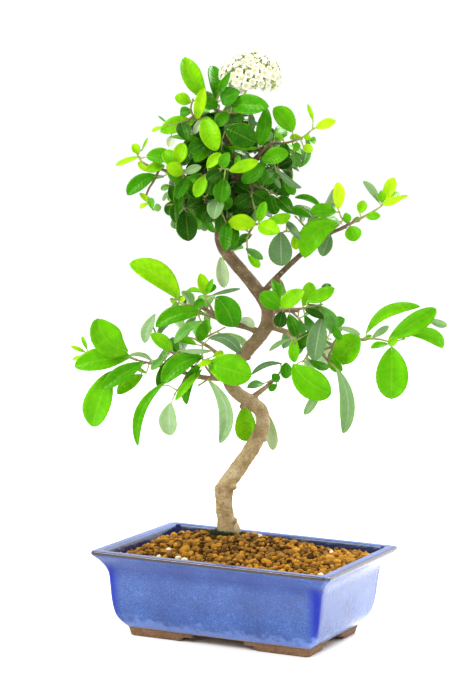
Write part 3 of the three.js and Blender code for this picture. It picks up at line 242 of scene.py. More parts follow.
# The glaze is thick and dark where it pools at the four upright corners; the dark band in the neck's hollow
# is partly pooled glaze, partly a painted dark reflection.
pool_corner = glaze.times(
    glaze.scale(from_middle_x, 0.066, 0.0725), glaze.scale(from_middle_y, 0.043, 0.0495),
    glaze.scale(speckle, 0.35, 0.55, 0.6, 1.0), glaze.scale(z, 0.051, 0.046),
)
neck_pool_and_reflection = glaze.times(glaze.scale(z, 0.040, 0.0475), glaze.scale(z, 0.055, 0.050))
colour = glaze.mix(pool_corner, colour, (0.0005, 0.010, 0.30), 0.98)
colour = glaze.mix(neck_pool_and_reflection, colour, (0.018, 0.035, 0.22), 0.45)
# A frosty fringe where the runs stop above the foot, with drips of unequal length.
fringe_height = glaze.scale(glaze.noise(0.006, 2.0, 0.5), 0.3, 0.7, 0.0075, 0.016)
fringe = glaze.scale(glaze.reckon("SUBTRACT", z, fringe_height), 0.0025, -0.002)
colour = glaze.mix(fringe, colour, (0.13, 0.24, 0.60), 0.55)
# Inside the rim the wall is painted nearly black: painted shade of the pot's hollow. The glaze breaks to
# brown along the lip's outer edge, and under the belly the clay is bare.
outside = glaze.reckon(
    "MAXIMUM", glaze.reckon("SUBTRACT", from_middle_x, POT_LENGTH / 2),
    glaze.reckon("SUBTRACT", from_middle_y, POT_WIDTH / 2),
)
painted_inner_shade = glaze.times(glaze.scale(outside, -0.0068, -0.0076), glaze.scale(z, 0.0465, 0.0480))
colour = glaze.mix(painted_inner_shade, colour, (0.005, 0.009, 0.040), 0.93)
edge_wander = glaze.scale(glaze.noise(0.004, 3.0, 0.6), 0.3, 0.7, -0.0006, 0.0006)
outer_edge = glaze.scale(glaze.plus(outside, edge_wander), -0.0015, -0.0007)
break_line = glaze.times(glaze.scale(z, 0.0554, 0.0560), outer_edge)
colour = glaze.mix(break_line, colour, (0.034, 0.017, 0.010), 0.93)
bare = glaze.scale(glaze.plus(z, edge_wander), 0.0068, 0.0060)
glaze.put("Base Color", glaze.mix(bare, colour, (0.27, 0.155, 0.075)))
# Where the glaze pools at the corners, and on the painted shade inside the rim, it reflects less.
pooled_and_shaded = glaze.reckon("MAXIMUM", pool_corner, painted_inner_shade)
glaze.put("Specular IOR Level", glaze.scale(pooled_and_shaded, 0, 1, 0.55, 0.15))
glaze.put("Roughness", glaze.plus(glaze.scale(speckle, 0.3, 0.7, 0.06, 0.14), glaze.times(bare, 0.6)))
orange_peel = glaze.bump(glaze.noise(0.0035, 2.0, 0.5), 0.00025)
glaze.put("Normal", glaze.bump(speckle, 0.00006, orange_peel))

profile = corner_cut(POT_PROFILE, 2) / 1000
rings = pot_outline(profile[:, 0])
heights = np.broadcast_to(profile[:, 1, None, None], (*rings.shape[:2], 1))
pot_body = surface("pot_body", [np.concatenate([rings, heights], -1) + pot_middle], glaze.material)
# Two round drainage holes go through the floor.
for side in (-1, 1):
    angle = np.linspace(0, 2 * math.pi, 32, endpoint=False)
    ring = HOLE_RADIUS * np.stack([np.cos(angle), np.sin(angle), 0 * angle], -1)
    ring += pot_middle + [side * HOLE_FROM_MIDDLE, 0, 0]
    plug = surface("drain_plug", [np.stack([ring, ring + [0, 0, HOLE_DEPTH]])], glaze.material)
    cut = pot_body.modifiers.new("drain", "BOOLEAN")
    cut.operation = "DIFFERENCE"
    cut.object = plug
    cut.solver = "EXACT"
    with bpy.context.temp_override(object=pot_body, active_object=pot_body):
        bpy.ops.object.modifier_apply(modifier=cut.name)
    bpy.data.objects.remove(plug)
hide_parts("pot")


# Pot feet: four L-shaped pads of the same clay, left bare, each running out along both walls in a
# shallow step. They are pressed on before firing, so they sink a little into the underside.
FOOT_GAP_X, FOOT_GAP_Y, FOOT_STEP, FOOT_STEP_Z, FOOT_EASE = 0.019, 0.011, 0.008, 0.003, 0.004
# (inset from the lip's outline, height) in millimetres, once round the pad's section
FOOT_SECTION = [(19.5, 6.3), (20.4, 3.0), (20.9, 0.7), (21.6, 0.0), (28.6, 0.0), (29.6, 0.8), (30.2, 6.3)]
SHORT_ARM, CORNER_STEPS, LONG_ARM = 14, 7, 22
clay = Finish("bare_clay", Roughness=0.85)
grit = clay.noise(0.0012, 4.0, 0.65)
clay_colour = clay.ramp(
    clay.plus(grit, clay.times(clay.noise(0.012), 0.5)),
    [(0.45, (0.075, 0.034, 0.014)), (0.75, (0.16, 0.080, 0.034)), (1.0, (0.28, 0.165, 0.085))],
)
clay.put("Base Color", clay_colour)
clay.put("Normal", clay.bump(grit, 0.0003))
rings = []
for inset, height in np.array(FOOT_SECTION) / 1000:
    radius = max(CORNER_RADIUS - inset * 0.1, LEAST_CORNER)
    far_x, far_y = POT_LENGTH / 2 - inset, POT_WIDTH / 2 - inset
    angle = np.linspace(0, math.pi / 2, CORNER_STEPS)
    short_arm = np.stack([np.full(SHORT_ARM, far_x), np.linspace(FOOT_GAP_Y, far_y - radius, SHORT_ARM)], -1)
    corner = np.stack([far_x - radius + radius * np.cos(angle), far_y - radius + radius * np.sin(angle)], -1)
    long_arm = np.stack([np.linspace(far_x - radius, FOOT_GAP_X, LONG_ARM), np.full(LONG_ARM, far_y)], -1)
    path = np.concatenate([short_arm, corner[1:-1], long_arm])
    # The height eases up to the step's over the last stretch of each arm.
    from_end = np.abs(path[:, 1] - FOOT_GAP_Y)
    later = slice(SHORT_ARM + CORNER_STEPS - 2, None)
    from_end[later] = np.minimum(from_end[later], np.abs(path[later, 0] - FOOT_GAP_X))
    eased = math.pi * np.clip((from_end - FOOT_STEP * 0.7) / FOOT_EASE, 0, 1)
    rings.append(np.column_stack([path, np.maximum(height, FOOT_STEP_Z * 0.5 * (1 + np.cos(eased)))]))
pad = np.stack(rings, 1)
turns = [(1, 1), (-1, 1), (-1, -1), (1, -1)]
feet = [(pad * [sx, sy, 1] + pot_middle)[:, :: sx * sy] for sx, sy in turns]
pot_feet = surface("pot_feet", feet, clay.material)


# Drainage nets: two squares of black plastic mesh laid over the holes, under the soil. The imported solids
# have their true shape, so they stay and only take their finish.
net_plastic = Finish("net_plastic", Roughness=0.55)
net_plastic.put("Base Color", net_plastic.ramp(net_plastic.noise(0.003), [(0.3, 0.008), (0.8, 0.022)]))
for name in ("drainage_net_1", "drainage_net_2"):
    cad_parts[name].data.materials.clear()
    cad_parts[name].data.materials.append(net_plastic.material)


# Soil: fired clay granules of 2 to 6 mm, ochre to dark brown, over a bed in the darkest brown, painted shade
# in the gaps between them. The mass comes up to the lip at the wall and is heaped towards the trunk.
TRUNK_X, TRUNK_Y, TREE_TURN = -0.021, 0.016, 24.3
SOIL_EDGE_Z, SOIL_CROWN_Z, SOIL_FALL, WALL_INSET = 0.053, 0.064, 1.35, 0.0096
BED_INSETS, BED_LEVELS, BED_DROP = [0.0236, 0.0162, 0.0110, 0.0106], [0.0108, 0.030, 0.048], 0.0022
trunk_foot = pot_middle + [TRUNK_X, TRUNK_Y, 0]


def soil_height(x, y):
    """From the wall to the trunk the soil rises by a power of the distance: at the wall the distance
    counts as one, and at the trunk as nothing."""
    away_x, away_y = x - TRUNK_X, y - TRUNK_Y
    reach_x = POT_LENGTH / 2 - WALL_INSET - np.sign(away_x) * TRUNK_X
    reach_y = POT_WIDTH / 2 - WALL_INSET - np.sign(away_y) * TRUNK_Y
    away = np.minimum(1, np.hypot(away_x / reach_x, away_y / reach_y))
    return SOIL_CROWN_Z - (SOIL_CROWN_Z - SOIL_EDGE_Z) * away**SOIL_FALL


def unit(vector):
    """A vector over its own length."""
    return vector / np.linalg.norm(vector, axis=-1, keepdims=True)


def ripples(points, size, seed, waves=7):
    """Smooth unevenness between about -1 and 1: the mean of a few sine waves through space, each with
    its own direction, a length near size and a phase."""
    rng = np.random.default_rng(seed)
    way = unit(rng.normal(size=(waves, 3)))
    length = size * rng.uniform(0.7, 1.5, waves)
    phases = points @ (way / length[:, None]).T * 2 * math.pi + rng.uniform(0, 6.3, waves)
    return np.sin(phases).mean(-1) * 1.8


def spin(points, angle, first, second):
    """Each lump's points turned by its angle in the plane of two of their three directions."""
    cosine, sine = np.cos(angle)[:, None], np.sin(angle)[:, None]
    turned = points.copy()
    turned[..., first] = points[..., first] * cosine - points[..., second] * sine
    turned[..., second] = points[..., first] * sine + points[..., second] * cosine
    return turned


def keep_value(piece, name, values):
    """A named number for each point of a piece, for its material to read."""
    layer = piece.data.attributes.new(name, "FLOAT", "POINT")
    layer.data.foreach_set("value", np.asarray(values, np.float32))


rng = np.random.default_rng(41)
# Bed: a closed block whose top follows the heap a little under its surface.
wall_rings = pot_outline(BED_INSETS)
levels = np.broadcast_to(np.array(BED_LEVELS)[:, None, None], (len(BED_LEVELS), wall_rings.shape[1], 1))
shrink = np.array([1, 0.85, 0.7, 0.55, 0.4, 0.25, 0.1, 0.01])[:, None, None]
top_rings = wall_rings[-1] * shrink + np.array([TRUNK_X, TRUNK_Y]) * (1 - shrink)
top_z = soil_height(top_rings[..., 0], top_rings[..., 1]) - BED_DROP
side = np.concatenate([wall_rings[:-1], levels], -1)
bed = np.concatenate([side, np.concatenate([top_rings, top_z[..., None]], -1)]) + pot_middle

# Granules: a seven-sided rounded lump with its own proportions, dents and turn; they lie in a jittered
# lattice in three layers, the lowest the smallest, and none stands in the wall or in the trunk.
GRANULE_SIDES, GRANULE_RINGS, LEAST_GRANULE, GREATEST_GRANULE, FLATNESS = 7, 4, 0.0012, 0.0062, 0.86
LIP_ROOM, TRUNK_ROOM, ROW_SHARE, JITTER = 0.0090, 0.0082, 0.866, 0.36
# (distance in the lattice, lift over the heap, mean size)
LAYERS = [(0.0048, 0.0012, 0.0038), (0.0042, -0.0004, 0.0031), (0.0036, -0.0018, 0.0024)]
seats, sizes = [], []
for pitch, lift, mean_size in LAYERS:
    columns, rows = int(POT_LENGTH / pitch) + 2, int(POT_WIDTH / pitch / ROW_SHARE) + 2
    column, row = np.meshgrid(np.arange(columns), np.arange(rows))
    jitter_x, jitter_y = (rng.uniform(-JITTER, JITTER, column.shape) for _ in range(2))
    spot_x = (column - columns / 2 + (row % 2) / 2 + jitter_x) * pitch
    spot_y = ((row - rows / 2) * ROW_SHARE + jitter_y) * pitch
    size = np.clip(mean_size * rng.lognormal(0, 0.32, column.shape), LEAST_GRANULE, GREATEST_GRANULE)
    room_x = POT_LENGTH / 2 - LIP_ROOM - size * 0.55 - np.abs(spot_x)
    room_y = POT_WIDTH / 2 - LIP_ROOM - size * 0.55 - np.abs(spot_y)
    from_trunk = np.hypot(spot_x - TRUNK_X, spot_y - TRUNK_Y)
    kept = (room_x > 0) & (room_y > 0) & (from_trunk > TRUNK_ROOM + size * 0.45)
    level = soil_height(spot_x, spot_y) + lift - size * 0.35 + rng.uniform(-0.0006, 0.0008, size.shape)
    seats.append(np.stack([spot_x, spot_y, level], -1)[kept])
    sizes.append(size[kept])
seats, sizes = np.concatenate(seats), np.concatenate(sizes)
count = len(seats)
upward = np.linspace(0, math.pi, GRANULE_RINGS + 2)[1:-1]
around = np.linspace(0, 2 * math.pi, GRANULE_SIDES, endpoint=False)
ball = [np.outer(np.sin(upward), np.cos(around)), np.outer(np.sin(upward), np.sin(around)),
        np.outer(np.cos(upward), np.ones(GRANULE_SIDES))]
ball = np.concatenate([np.stack(ball, -1).reshape(-1, 3), [[0, 0, 1], [0, 0, -1]]])
dents = 1 + 0.17 * ripples(ball[None] * 0.5 + rng.uniform(0, 50, (count, 1, 3)), 1.0, 5)
dents += rng.uniform(-0.11, 0.11, dents.shape)
lumps = ball[None] * dents[..., None] * rng.uniform(0.72, 1.18, (count, 1, 3))
turn, lean = rng.uniform(0, 2 * math.pi, count), rng.uniform(-0.9, 0.9, count)
lumps = spin(spin(lumps, lean, 0, 2), turn, 0, 1) * [1, 1, FLATNESS]
granules = lumps * sizes[:, None, None] / 2 + seats[:, None] + pot_middle
number = np.arange(GRANULE_RINGS * GRANULE_SIDES).reshape(GRANULE_RINGS, GRANULE_SIDES)
after = np.roll(number, -1, 1)
north, south = number.size, number.size + 1
cells = np.stack([number[:-1], number[1:], after[1:], after[:-1]], -1).reshape(-1, 4).tolist()
cells += [(north, a, b) for a, b in zip(number[0].tolist(), after[0].tolist())]
cells += [(south, b, a) for a, b in zip(number[-1].tolist(), after[-1].tolist())]
bed_size = bed.shape[0] * bed.shape[1]
faces = ring_faces(*bed.shape[:2])
faces += [[bed_size + k * len(ball) + i for i in cell] for k in range(count) for cell in cells]

fired = Finish("fired_granules", Roughness=0.9, Specular_IOR_Level=0.02)
crumb = fired.noise(0.0009, 4.0, 0.7)
granule_colour = fired.ramp(
    fired.plus(fired.value("granule_tone"), fired.scale(crumb, 0.3, 0.7, -0.07, 0.07)),
    [(0.0, (0.040, 0.018, 0.005)), (0.14, (0.105, 0.050, 0.012)), (0.30, (0.18, 0.088, 0.020)),
     (0.46, (0.26, 0.128, 0.024)), (0.60, (0.34, 0.160, 0.020)), (0.76, (0.45, 0.21, 0.018)),
     (0.9, (0.56, 0.31, 0.06)), (0.985, (0.70, 0.64, 0.50))],
)
fired.put("Base Color", granule_colour)
fired.put("Normal", fired.bump(crumb, 0.0005))
soil_points = np.concatenate([bed.reshape(-1, 3), granules.reshape(-1, 3)])
soil_granules = make_piece("soil_granules", soil_points, faces, [fired.material], smooth=False)
# Tone runs from dark brown over brown and ochre to the few white crumbs; near the trunk the heap is duller.
dull = np.clip(1 - np.hypot(seats[:, 0] - TRUNK_X, seats[:, 1] - TRUNK_Y) / 0.055, 0, 1)
tone = rng.beta(2.3, 2.0, count) * 0.86 - 0.20 * dull + 0.07 * np.clip(seats[:, 0] / 0.07, 0, 1)
tone = np.clip(tone, 0, 0.86)
tone[rng.uniform(0, 1, count) < 0.075] = 0.03
tone[rng.uniform(0, 1, count) < 0.012] = 1.0
# The bed's points keep tone 0, the darkest brown: painted shade between the granules.
keep_value(soil_granules, "granule_tone", np.concatenate([np.zeros(bed_size), np.repeat(tone, len(ball))]))
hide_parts("soil")


# Wood: trunk, branches and root crown, grown as one. The trunk winds in an S, thins upwards and carries
# old pruning knots; its bark is smooth and tan low down and darker above, with pale pores across it.
# Places are in the tree's own frame, in millimetres: across, depth, up, then the radius.
TRUNK = [
    (0, 1, 40, 8.4), (0.5, 0.5, 54, 9), (0.8, 0, 64, 8.2), (-0.8, -0.5, 72, 6.2), (-2.7, -1.5, 82, 5.8),
    (-2.8, -2, 91, 6), (0, -2, 98.5, 5.9), (8, 0, 110, 5.5), (15, 3, 121, 5.2), (20, 4.5, 130, 4.9),
    (22, 5, 138, 4.8), (20.5, 4, 146, 4.8), (14, 1, 152, 4.7), (5, -3, 158.5, 4.5), (-1, -5, 166, 4.4),
    (-0.5, -5, 174, 4.4), (5, -3, 181, 4.4), (13, 1, 190, 4.5), (19.5, 3.5, 197.5, 4.6),
    (23.5, 4.5, 205, 4.7), (23.5, 4, 214, 4.5), (19.5, 3, 223, 4.4), (12.5, 1, 232, 4.3),
    (5, -1, 241, 4.2), (-3, -2.5, 250, 4.2), (-8, -3, 259, 4.2), (-9, -2, 267, 3.9), (-8, 0, 277, 3.2),
    (-3, 2, 288, 2.7), (0, 3, 300, 2.3), (-2, 3, 314, 1.9), (-7, 1, 328, 1.6), (-12, -2, 341, 1.3),
]
BRANCHES = [
    ((-1, -5, 169, 2.3), (-9, -9, 169, 1.9), (-18, -13, 170, 1.7), (-30, -16, 173, 1.5),
     (-46, -16, 177, 1.2)),
    ((12, 1, 153, 2.4), (18, 2, 158, 1.9), (24, 1, 163, 1.6), (28.5, 0, 168, 1.3)),
    ((-1, -4, 174, 2.1), (-5, 8, 178, 1.7), (-12, 20, 184, 1.4), (-20, 31, 188, 1.2)),
    ((18, 2, 199.5, 2.4), (9, 0, 203, 2.1), (0, -2, 205, 1.8), (-9, -4, 208, 1.5), (-19, -6, 216, 1.2)),
    ((24, 4, 204, 2.3), (36, 1, 200, 1.8), (47, -3, 197, 1.5), (56, -7, 190, 1.3), (62, -9, 186, 1.2)),
    ((23, 5, 209, 2.1), (27, 16, 211, 1.7), (34, 27, 212, 1.4), (43, 35, 211, 1.2)),
    ((22, 4, 219, 2.2), (32, -2, 215, 1.7), (44, -5, 215, 1.3)),
    ((19, 3, 224, 2.6), (25, 2, 231.5, 2.2), (33, 0, 240.5, 2), (44, -2, 251.5, 1.8),
     (54, -4, 260.5, 1.6), (64, -5, 267, 1.4), (74, -6, 271.5, 1.2)),
    ((-9, -2, 270, 2.4), (-18, -5, 284, 1.9), (-28, -6, 295, 1.6), (-37, -6, 302, 1.4),
     (-46, -5, 306, 1.2)),
    ((-17, -5, 283, 1.6), (-26, -9, 282, 1.4), (-35, -11, 283, 1.2)),
    ((-3, 2, 288, 2.2), (6, 1, 298, 1.8), (13, -2, 312, 1.5), (17, -4, 322, 1.3)),
    ((-7, 1, 328, 1.5), (-15, -4, 335, 1.3), (-25, -8, 339, 1.2)),
    ((-9, -1, 273, 1.9), (-3, -8, 274, 1.6), (5, -14, 273, 1.4), (12, -18, 272, 1.2)),
    ((-8, 0, 276, 2.2), (-9, 12, 286, 1.8), (-12, 24, 296, 1.4), (-12, 33, 304, 1.2)),
    ((0, 3, 300, 1.8), (8, 13, 306, 1.5), (16, 24, 310, 1.2)),
]
KNOTS = [
    (-5.5, -4.5, 94, 4), (29.5, -0.5, 233.5, 2.2), (11, -3.5, 183, 2.2), (-6.6, -2, 78, 2),
    (24, 2.5, 127, 1.7), (4.5, -4, 73, 2.2), (3.4, -6.4, 96, 2.4), (8, -4.6, 150, 2), (21, -1, 226, 2.2),
]
cosine, sine = math.cos(math.radians(TREE_TURN)), math.sin(math.radians(TREE_TURN))
tree_axes = np.array([[cosine, sine, 0], [-sine, cosine, 0], [0, 0, 1]])


def from_tree(points):
    """Millimetres in the tree's frame to metres in the part's: turned about the trunk's foot."""
    return points @ tree_axes / 1000 + trunk_foot


def smooth_route(points, step):
    """A curve through the points, a cubic between each two whose slope at a point is half the way from
    the point before it to the one after, sampled about every step."""
    points = np.array(points, float)
    padded = np.vstack([2 * points[0] - points[1], points, 2 * points[-1] - points[-2]])
    slope = (padded[2:] - padded[:-2]) / 2
    pieces = []
    for here, after, leave, arrive in zip(points, points[1:], slope, slope[1:]):
        count = max(2, int(np.linalg.norm((after - here)[:3]) / step))
        t = (np.arange(count) / count)[:, None]
        pieces.append(
            (2 * t**3 - 3 * t**2 + 1) * here + (t**3 - 2 * t**2 + t) * leave
            + (3 * t**2 - 2 * t**3) * after + (t**3 - t**2) * arrive
        )
    return np.vstack([*pieces, points[-1:]])


def tube(route, radii, sides, relief=None):
    """Rings carried along a route, each turned as little as possible from the last; relief gives the
    share by which each point of a ring stands out, and each end is drawn together to a small ring."""
    heading = unit(np.gradient(route, axis=0))
    normal = np.array([1.0, 0.2, 0.1])
    normals = []
    for way in heading:
        normal = unit(normal - way * (normal @ way))
        normals.append(normal)
    normals = np.array(normals)
    sideways = np.cross(heading, normals)
    angle = np.linspace(0, 2 * math.pi, sides, endpoint=False)
    out = normals[:, None] * np.cos(angle)[:, None] + sideways[:, None] * np.sin(angle)[:, None]
    reach = np.broadcast_to(np.asarray(radii)[:, None], out.shape[:2]).copy()
    if relief is not None:
        reach = reach * relief(route[:, None] + out * reach[..., None])
    rings = route[:, None] + out * reach[..., None]
    tip = route[-1] + heading[-1] * radii[-1] * 0.6 + out[-1] * reach[-1][:, None] * 0.35
    root = route[0] - heading[0] * radii[0] * 0.3 + out[0] * reach[0][:, None] * 0.35
    return np.concatenate([root[None], rings, tip[None]])


def bark_relief(points):
    """Slow swellings, and finer wrinkles on top of them."""
    slow = 1 + 0.05 * ripples(points, 17, 11) + 0.045 * ripples(points, 5, 12)
    return slow + 0.035 * ripples(points, 2.2, 13)


limbs = []
for index, limb in enumerate([TRUNK, *BRANCHES]):
    route = smooth_route(limb, 1.0 if index else 1.2)
    # The trunk alone swells by a tenth over its last stretch down to the foot.
    swell = 1 if index else 1 + 0.10 * np.clip((74 - route[:, 2]) / 14, 0, 1)
    limbs.append(tube(route[:, :3], route[:, 3] * swell, 14 if index else 28, bark_relief))
for across, depth, up, radius in KNOTS:
    route = np.array([across, depth, up], float) + np.linspace(-1, 1, 9)[:, None] * [0, 0, radius * 0.95]
    limbs.append(tube(route, radius * np.sqrt(1 - np.linspace(-0.97, 0.97, 9) ** 2), 14, bark_relief))
# Surface roots: three ridges that leave the foot and dive into the soil.
ROOTS, ROOT_START, ROOT_DIVE = [(222, 11), (310, 14), (75, 14)], [0.8, 0, 67.5], np.array([0, 0, 9.0])
for angle, reach in ROOTS:
    way = np.array([math.cos(math.radians(angle)), math.sin(math.radians(angle)), 0])
    share = np.linspace(0, 1, 12)[:, None]
    route = way * reach * share + ROOT_START - ROOT_DIVE * share**1.4
    limbs.append(tube(route, 3.6 - 2.2 * share[:, 0], 12, bark_relief))
bark = Finish("firethorn_bark", Roughness=0.8, Specular_IOR_Level=0.2)
wood = surface("trunk_and_branches", [from_tree(limb) for limb in limbs], bark.material)
join = wood.modifiers.new("join", "REMESH")
join.mode = "VOXEL"
join.voxel_size = 0.00055
join.use_smooth_shade = True
ease = wood.modifiers.new("ease", "SMOOTH")
ease.factor = 0.5
ease.iterations = 2
with bpy.context.temp_override(object=wood, active_object=wood):
    bpy.ops.object.modifier_apply(modifier=join.name)
    bpy.ops.object.modifier_apply(modifier=ease.name)

height = bark.place(2)
clouds = bark.noise(0.009, 4.0, 0.6)
grain = bark.noise(0.0016, 5.0, 0.65)
low_tan = bark.ramp(
    clouds, [(0.3, (0.22, 0.150, 0.062)), (0.5, (0.40, 0.29, 0.14)), (0.7, (0.56, 0.45, 0.26))]
)
high_brown = bark.ramp(
    clouds, [(0.3, (0.070, 0.042, 0.020)), (0.5, (0.135, 0.090, 0.045)), (0.72, (0.26, 0.19, 0.105))]
)
rise = bark.scale(bark.plus(height, bark.scale(clouds, 0.3, 0.7, -0.02, 0.02)), 0.10, 0.23)
bark_colour = bark.mix(rise, low_tan, high_brown)
# Pores: short pale dashes; cracks: fine dark lines.
pores = bark.node("TexVoronoi", "Distance", {"Vector": bark.place(), "Scale": 260.0})
pore = bark.times(bark.scale(pores, 0.24, 0.12), bark.scale(grain, 0.45, 0.6))
bark_colour = bark.mix(pore, bark_colour, (0.60, 0.50, 0.37), 0.65)
plates = {"Vector": bark.place(), "Scale": 170.0}
crack = bark.node("TexVoronoi", "Distance", plates, feature="DISTANCE_TO_EDGE")
crack_line = bark.scale(bark.plus(crack, bark.scale(grain, 0.3, 0.7, 0.0, 0.08)), 0.07, 0.02)
bark_colour = bark.mix(crack_line, bark_colour, (0.05, 0.032, 0.02), 0.5)
bark_colour = bark.mix(bark.scale(grain, 0.54, 0.66), bark_colour, (0.085, 0.052, 0.028), 0.55)
# Green film of algae and damp at the foot.
damp = bark.times(bark.scale(height, 0.074, 0.063), bark.scale(clouds, 0.4, 0.6, 0.3, 1.0))
bark.put("Base Color", bark.mix(damp, bark_colour, (0.035, 0.036, 0.012), 0.8))
bark.put("Normal", bark.bump(crack, 0.0005, bark.bump(grain, 0.0008)))
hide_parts("wood")


# Moss: a dark green cushion of fine shoots packed round the trunk's foot, on the granules. Each shoot is
# a thin three-sided spike.
MOSS_SHOOTS, MOSS_START, MOSS_REACH, MOSS_THICKNESS = 1300, 0.0075, 0.0125, 0.00035
angle = rng.normal(-1.9, 1.0, MOSS_SHOOTS)
lobes = 0.75 + 0.35 * np.sin(2 * angle + 0.6)
reach = MOSS_START + (MOSS_REACH - MOSS_START) * rng.uniform(0, 1, MOSS_SHOOTS) ** 1.3 * lobes
spot_x, spot_y = TRUNK_X + reach * np.cos(angle), TRUNK_Y + reach * np.sin(angle)
root = np.stack([spot_x, spot_y, soil_height(spot_x, spot_y) - 0.0004], -1) + pot_middle
lean = rng.normal(0, 0.35, (MOSS_SHOOTS, 2))
tall = rng.uniform(0.0014, 0.0032, MOSS_SHOOTS) * (1.25 - (reach - MOSS_START) / 0.009)
tip = root + np.column_stack([lean * tall[:, None], tall])
turn = rng.uniform(0, 2 * math.pi, MOSS_SHOOTS)
thirds = turn[:, None] + np.arange(3) * 2 * math.pi / 3
ways = np.stack([np.cos(thirds), np.sin(thirds), 0 * thirds], -1)
moss_points = np.concatenate([root[:, None] + ways * MOSS_THICKNESS, tip[:, None]], 1)
base = np.arange(MOSS_SHOOTS)[:, None, None] * 4
moss_faces = (base + np.array([[0, 2, 1], [0, 1, 3], [1, 2, 3], [2, 0, 3]])).reshape(-1, 3).tolist()
green = Finish("moss_green", Roughness=0.95)
moss_greens = [(0.3, (0.008, 0.018, 0.005)), (0.6, (0.022, 0.050, 0.009)), (0.8, (0.06, 0.10, 0.02))]
green.put("Base Color", green.ramp(green.noise(0.002, 3.0, 0.6), moss_greens))
moss = make_piece("moss", moss_points, moss_faces, [green.material], smooth=False)


# Flower head: one corymb on a thin green stalk. Each floret has five round white petals, slightly cupped,
# a yellow-green heart and a ring of stamens; they face outwards all over a low dome, and a few are buds.
FLOWER_STALK = [
    (-8, 0.5, 331, 1.1), (-4, -5, 339, 1), (1, -6, 349, 0.9), (5, -7, 357, 0.9), (8, -7, 365, 0.9),
]
DOME_CENTRE, DOME_RADII, DOME_LOWEST = np.array([9.0, -7, 369]), np.array([20.5, 17, 16.5]), -0.55
FLORETS, PETALS, STAMENS, PETAL_THICKNESS = 118, 5, 9, 0.22
GOLDEN_ANGLE = math.radians(137.5)
# (radius, height over the floret's middle) of the heart's rings, and of the green cup's that holds it
HEART = [(0.75, 0.0), (0.65, 0.35), (0.3, 0.5), (0.1, 0.53)]
CUP = [(0.25, -1.7), (0.75, -1.2), (1.05, -0.5), (0.95, 0.05)]


def frame_about(outward, turn):
    """Two directions square to each outward direction and to each other, turned about it."""
    side = unit(np.cross(outward, [0.3, 0.2, 1.0]))
    other = np.cross(outward, side)
    cosine, sine = np.cos(turn)[..., None], np.sin(turn)[..., None]
    return side * cosine + other * sine, other * cosine - side * sine


def thin_sheet(front, back):
    """Closes two grids of points, ... x rows x columns, that lie close together: the front's cells, the
    back's cells turned over, and a strip round the rim. Returns all points and faces."""
    rows, columns = front.shape[-3:-1]
    leaves = int(np.prod(front.shape[:-3]))
    size = rows * columns
    top = np.arange(size).reshape(rows, columns)
    under = top + size
    rim = np.concatenate([top[0, :-1], top[:-1, -1], top[-1, :0:-1], top[:0:-1, 0]])
    after = np.roll(rim, -1)
    cells = np.concatenate([
        np.stack([top[:-1, :-1], top[:-1, 1:], top[1:, 1:], top[1:, :-1]], -1).reshape(-1, 4),
        np.stack([under[:-1, :-1], under[1:, :-1], under[1:, 1:], under[:-1, 1:]], -1).reshape(-1, 4),
        np.stack([rim, rim + size, after + size, after], -1),
    ])
    points = np.concatenate([front.reshape(leaves, size, 3), back.reshape(leaves, size, 3)], 1)
    faces = (np.arange(leaves)[:, None, None] * 2 * size + cells).reshape(-1, 4)
    return points.reshape(-1, 3), faces


def bent_line(start, control, end, count):
    """A parabola from start to end, drawn towards the control point, at count even steps."""
    t = np.linspace(0, 1, count)[:, None]
    return (1 - t) ** 2 * start + 2 * t * (1 - t) * control + t**2 * end


class Assembly:
    """Points, in the tree's millimetres, and faces of one piece, gathered with a finish for every face
    and named values for every point."""

    def __init__(self, *value_names):
        self.points, self.faces, self.finishes, self.count = [], [], [], 0
        self.values = {name: [] for name in value_names}

    def add(self, points, faces, finish, **values):
        for name, kept in self.values.items():
            kept.append(np.broadcast_to(np.asarray(values.get(name, 0.0), float), len(points)))
        self.points.append(from_tree(points))
        self.faces += faces
        self.finishes += [finish] * len(faces)
        self.count += len(points)

    def add_rings(self, rings, finish, **values):
        self.add(rings.reshape(-1, 3), ring_faces(*rings.shape[:2], self.count), finish, **values)

    def add_sheets(self, front, back, finish, **values):
        points, faces = thin_sheet(front, back)
        self.add(points, (faces + self.count).tolist(), finish, **values)

    def piece(self, name, materials):
        made = make_piece(name, np.concatenate(self.points), self.faces, materials)
        made.data.polygons.foreach_set("material_index", np.array(self.finishes, np.int32))
        for key, kept in self.values.items():
            keep_value(made, key, np.concatenate(kept))
        return made


petal_white = Finish(
    "petal_white", Roughness=0.6, Specular_IOR_Level=0.2, Subsurface_Weight=0.3, Subsurface_Scale=0.001,
    Subsurface_Radius=(1.0, 1.0, 0.8),
)
petal_cloud = petal_white.scale(petal_white.noise(0.004), 0.3, 0.7, -0.1, 0.1)
petal_tint = petal_white.ramp(
    petal_white.plus(petal_white.value("petal_along"), petal_cloud),
    [(0.0, (0.74, 0.78, 0.40)), (0.25, (0.90, 0.90, 0.68)), (0.7, (0.95, 0.95, 0.85))],
)
petal_white.put("Base Color", petal_tint)
flower_heart = Finish("flower_heart", Roughness=0.6)
heart_tints = [(0.35, (0.60, 0.66, 0.22)), (0.52, (0.86, 0.80, 0.44)), (0.72, (0.66, 0.40, 0.12))]
flower_heart.put("Base Color", flower_heart.ramp(flower_heart.noise(0.0012), heart_tints))
flower_stem = Finish("flower_stem", Roughness=0.5, Subsurface_Weight=0.15, Subsurface_Scale=0.001)
stem_greens = [(0.3, (0.36, 0.50, 0.10)), (0.7, (0.58, 0.70, 0.22))]
flower_stem.put("Base Color", flower_stem.ramp(flower_stem.noise(0.004), stem_greens))

flower = Assembly("petal_along")
stalk_route = smooth_route(FLOWER_STALK, 0.9)
stalk_end = stalk_route[-1, :3]
flower.add_rings(tube(stalk_route[:, :3], stalk_route[:, 3], 8), 2)
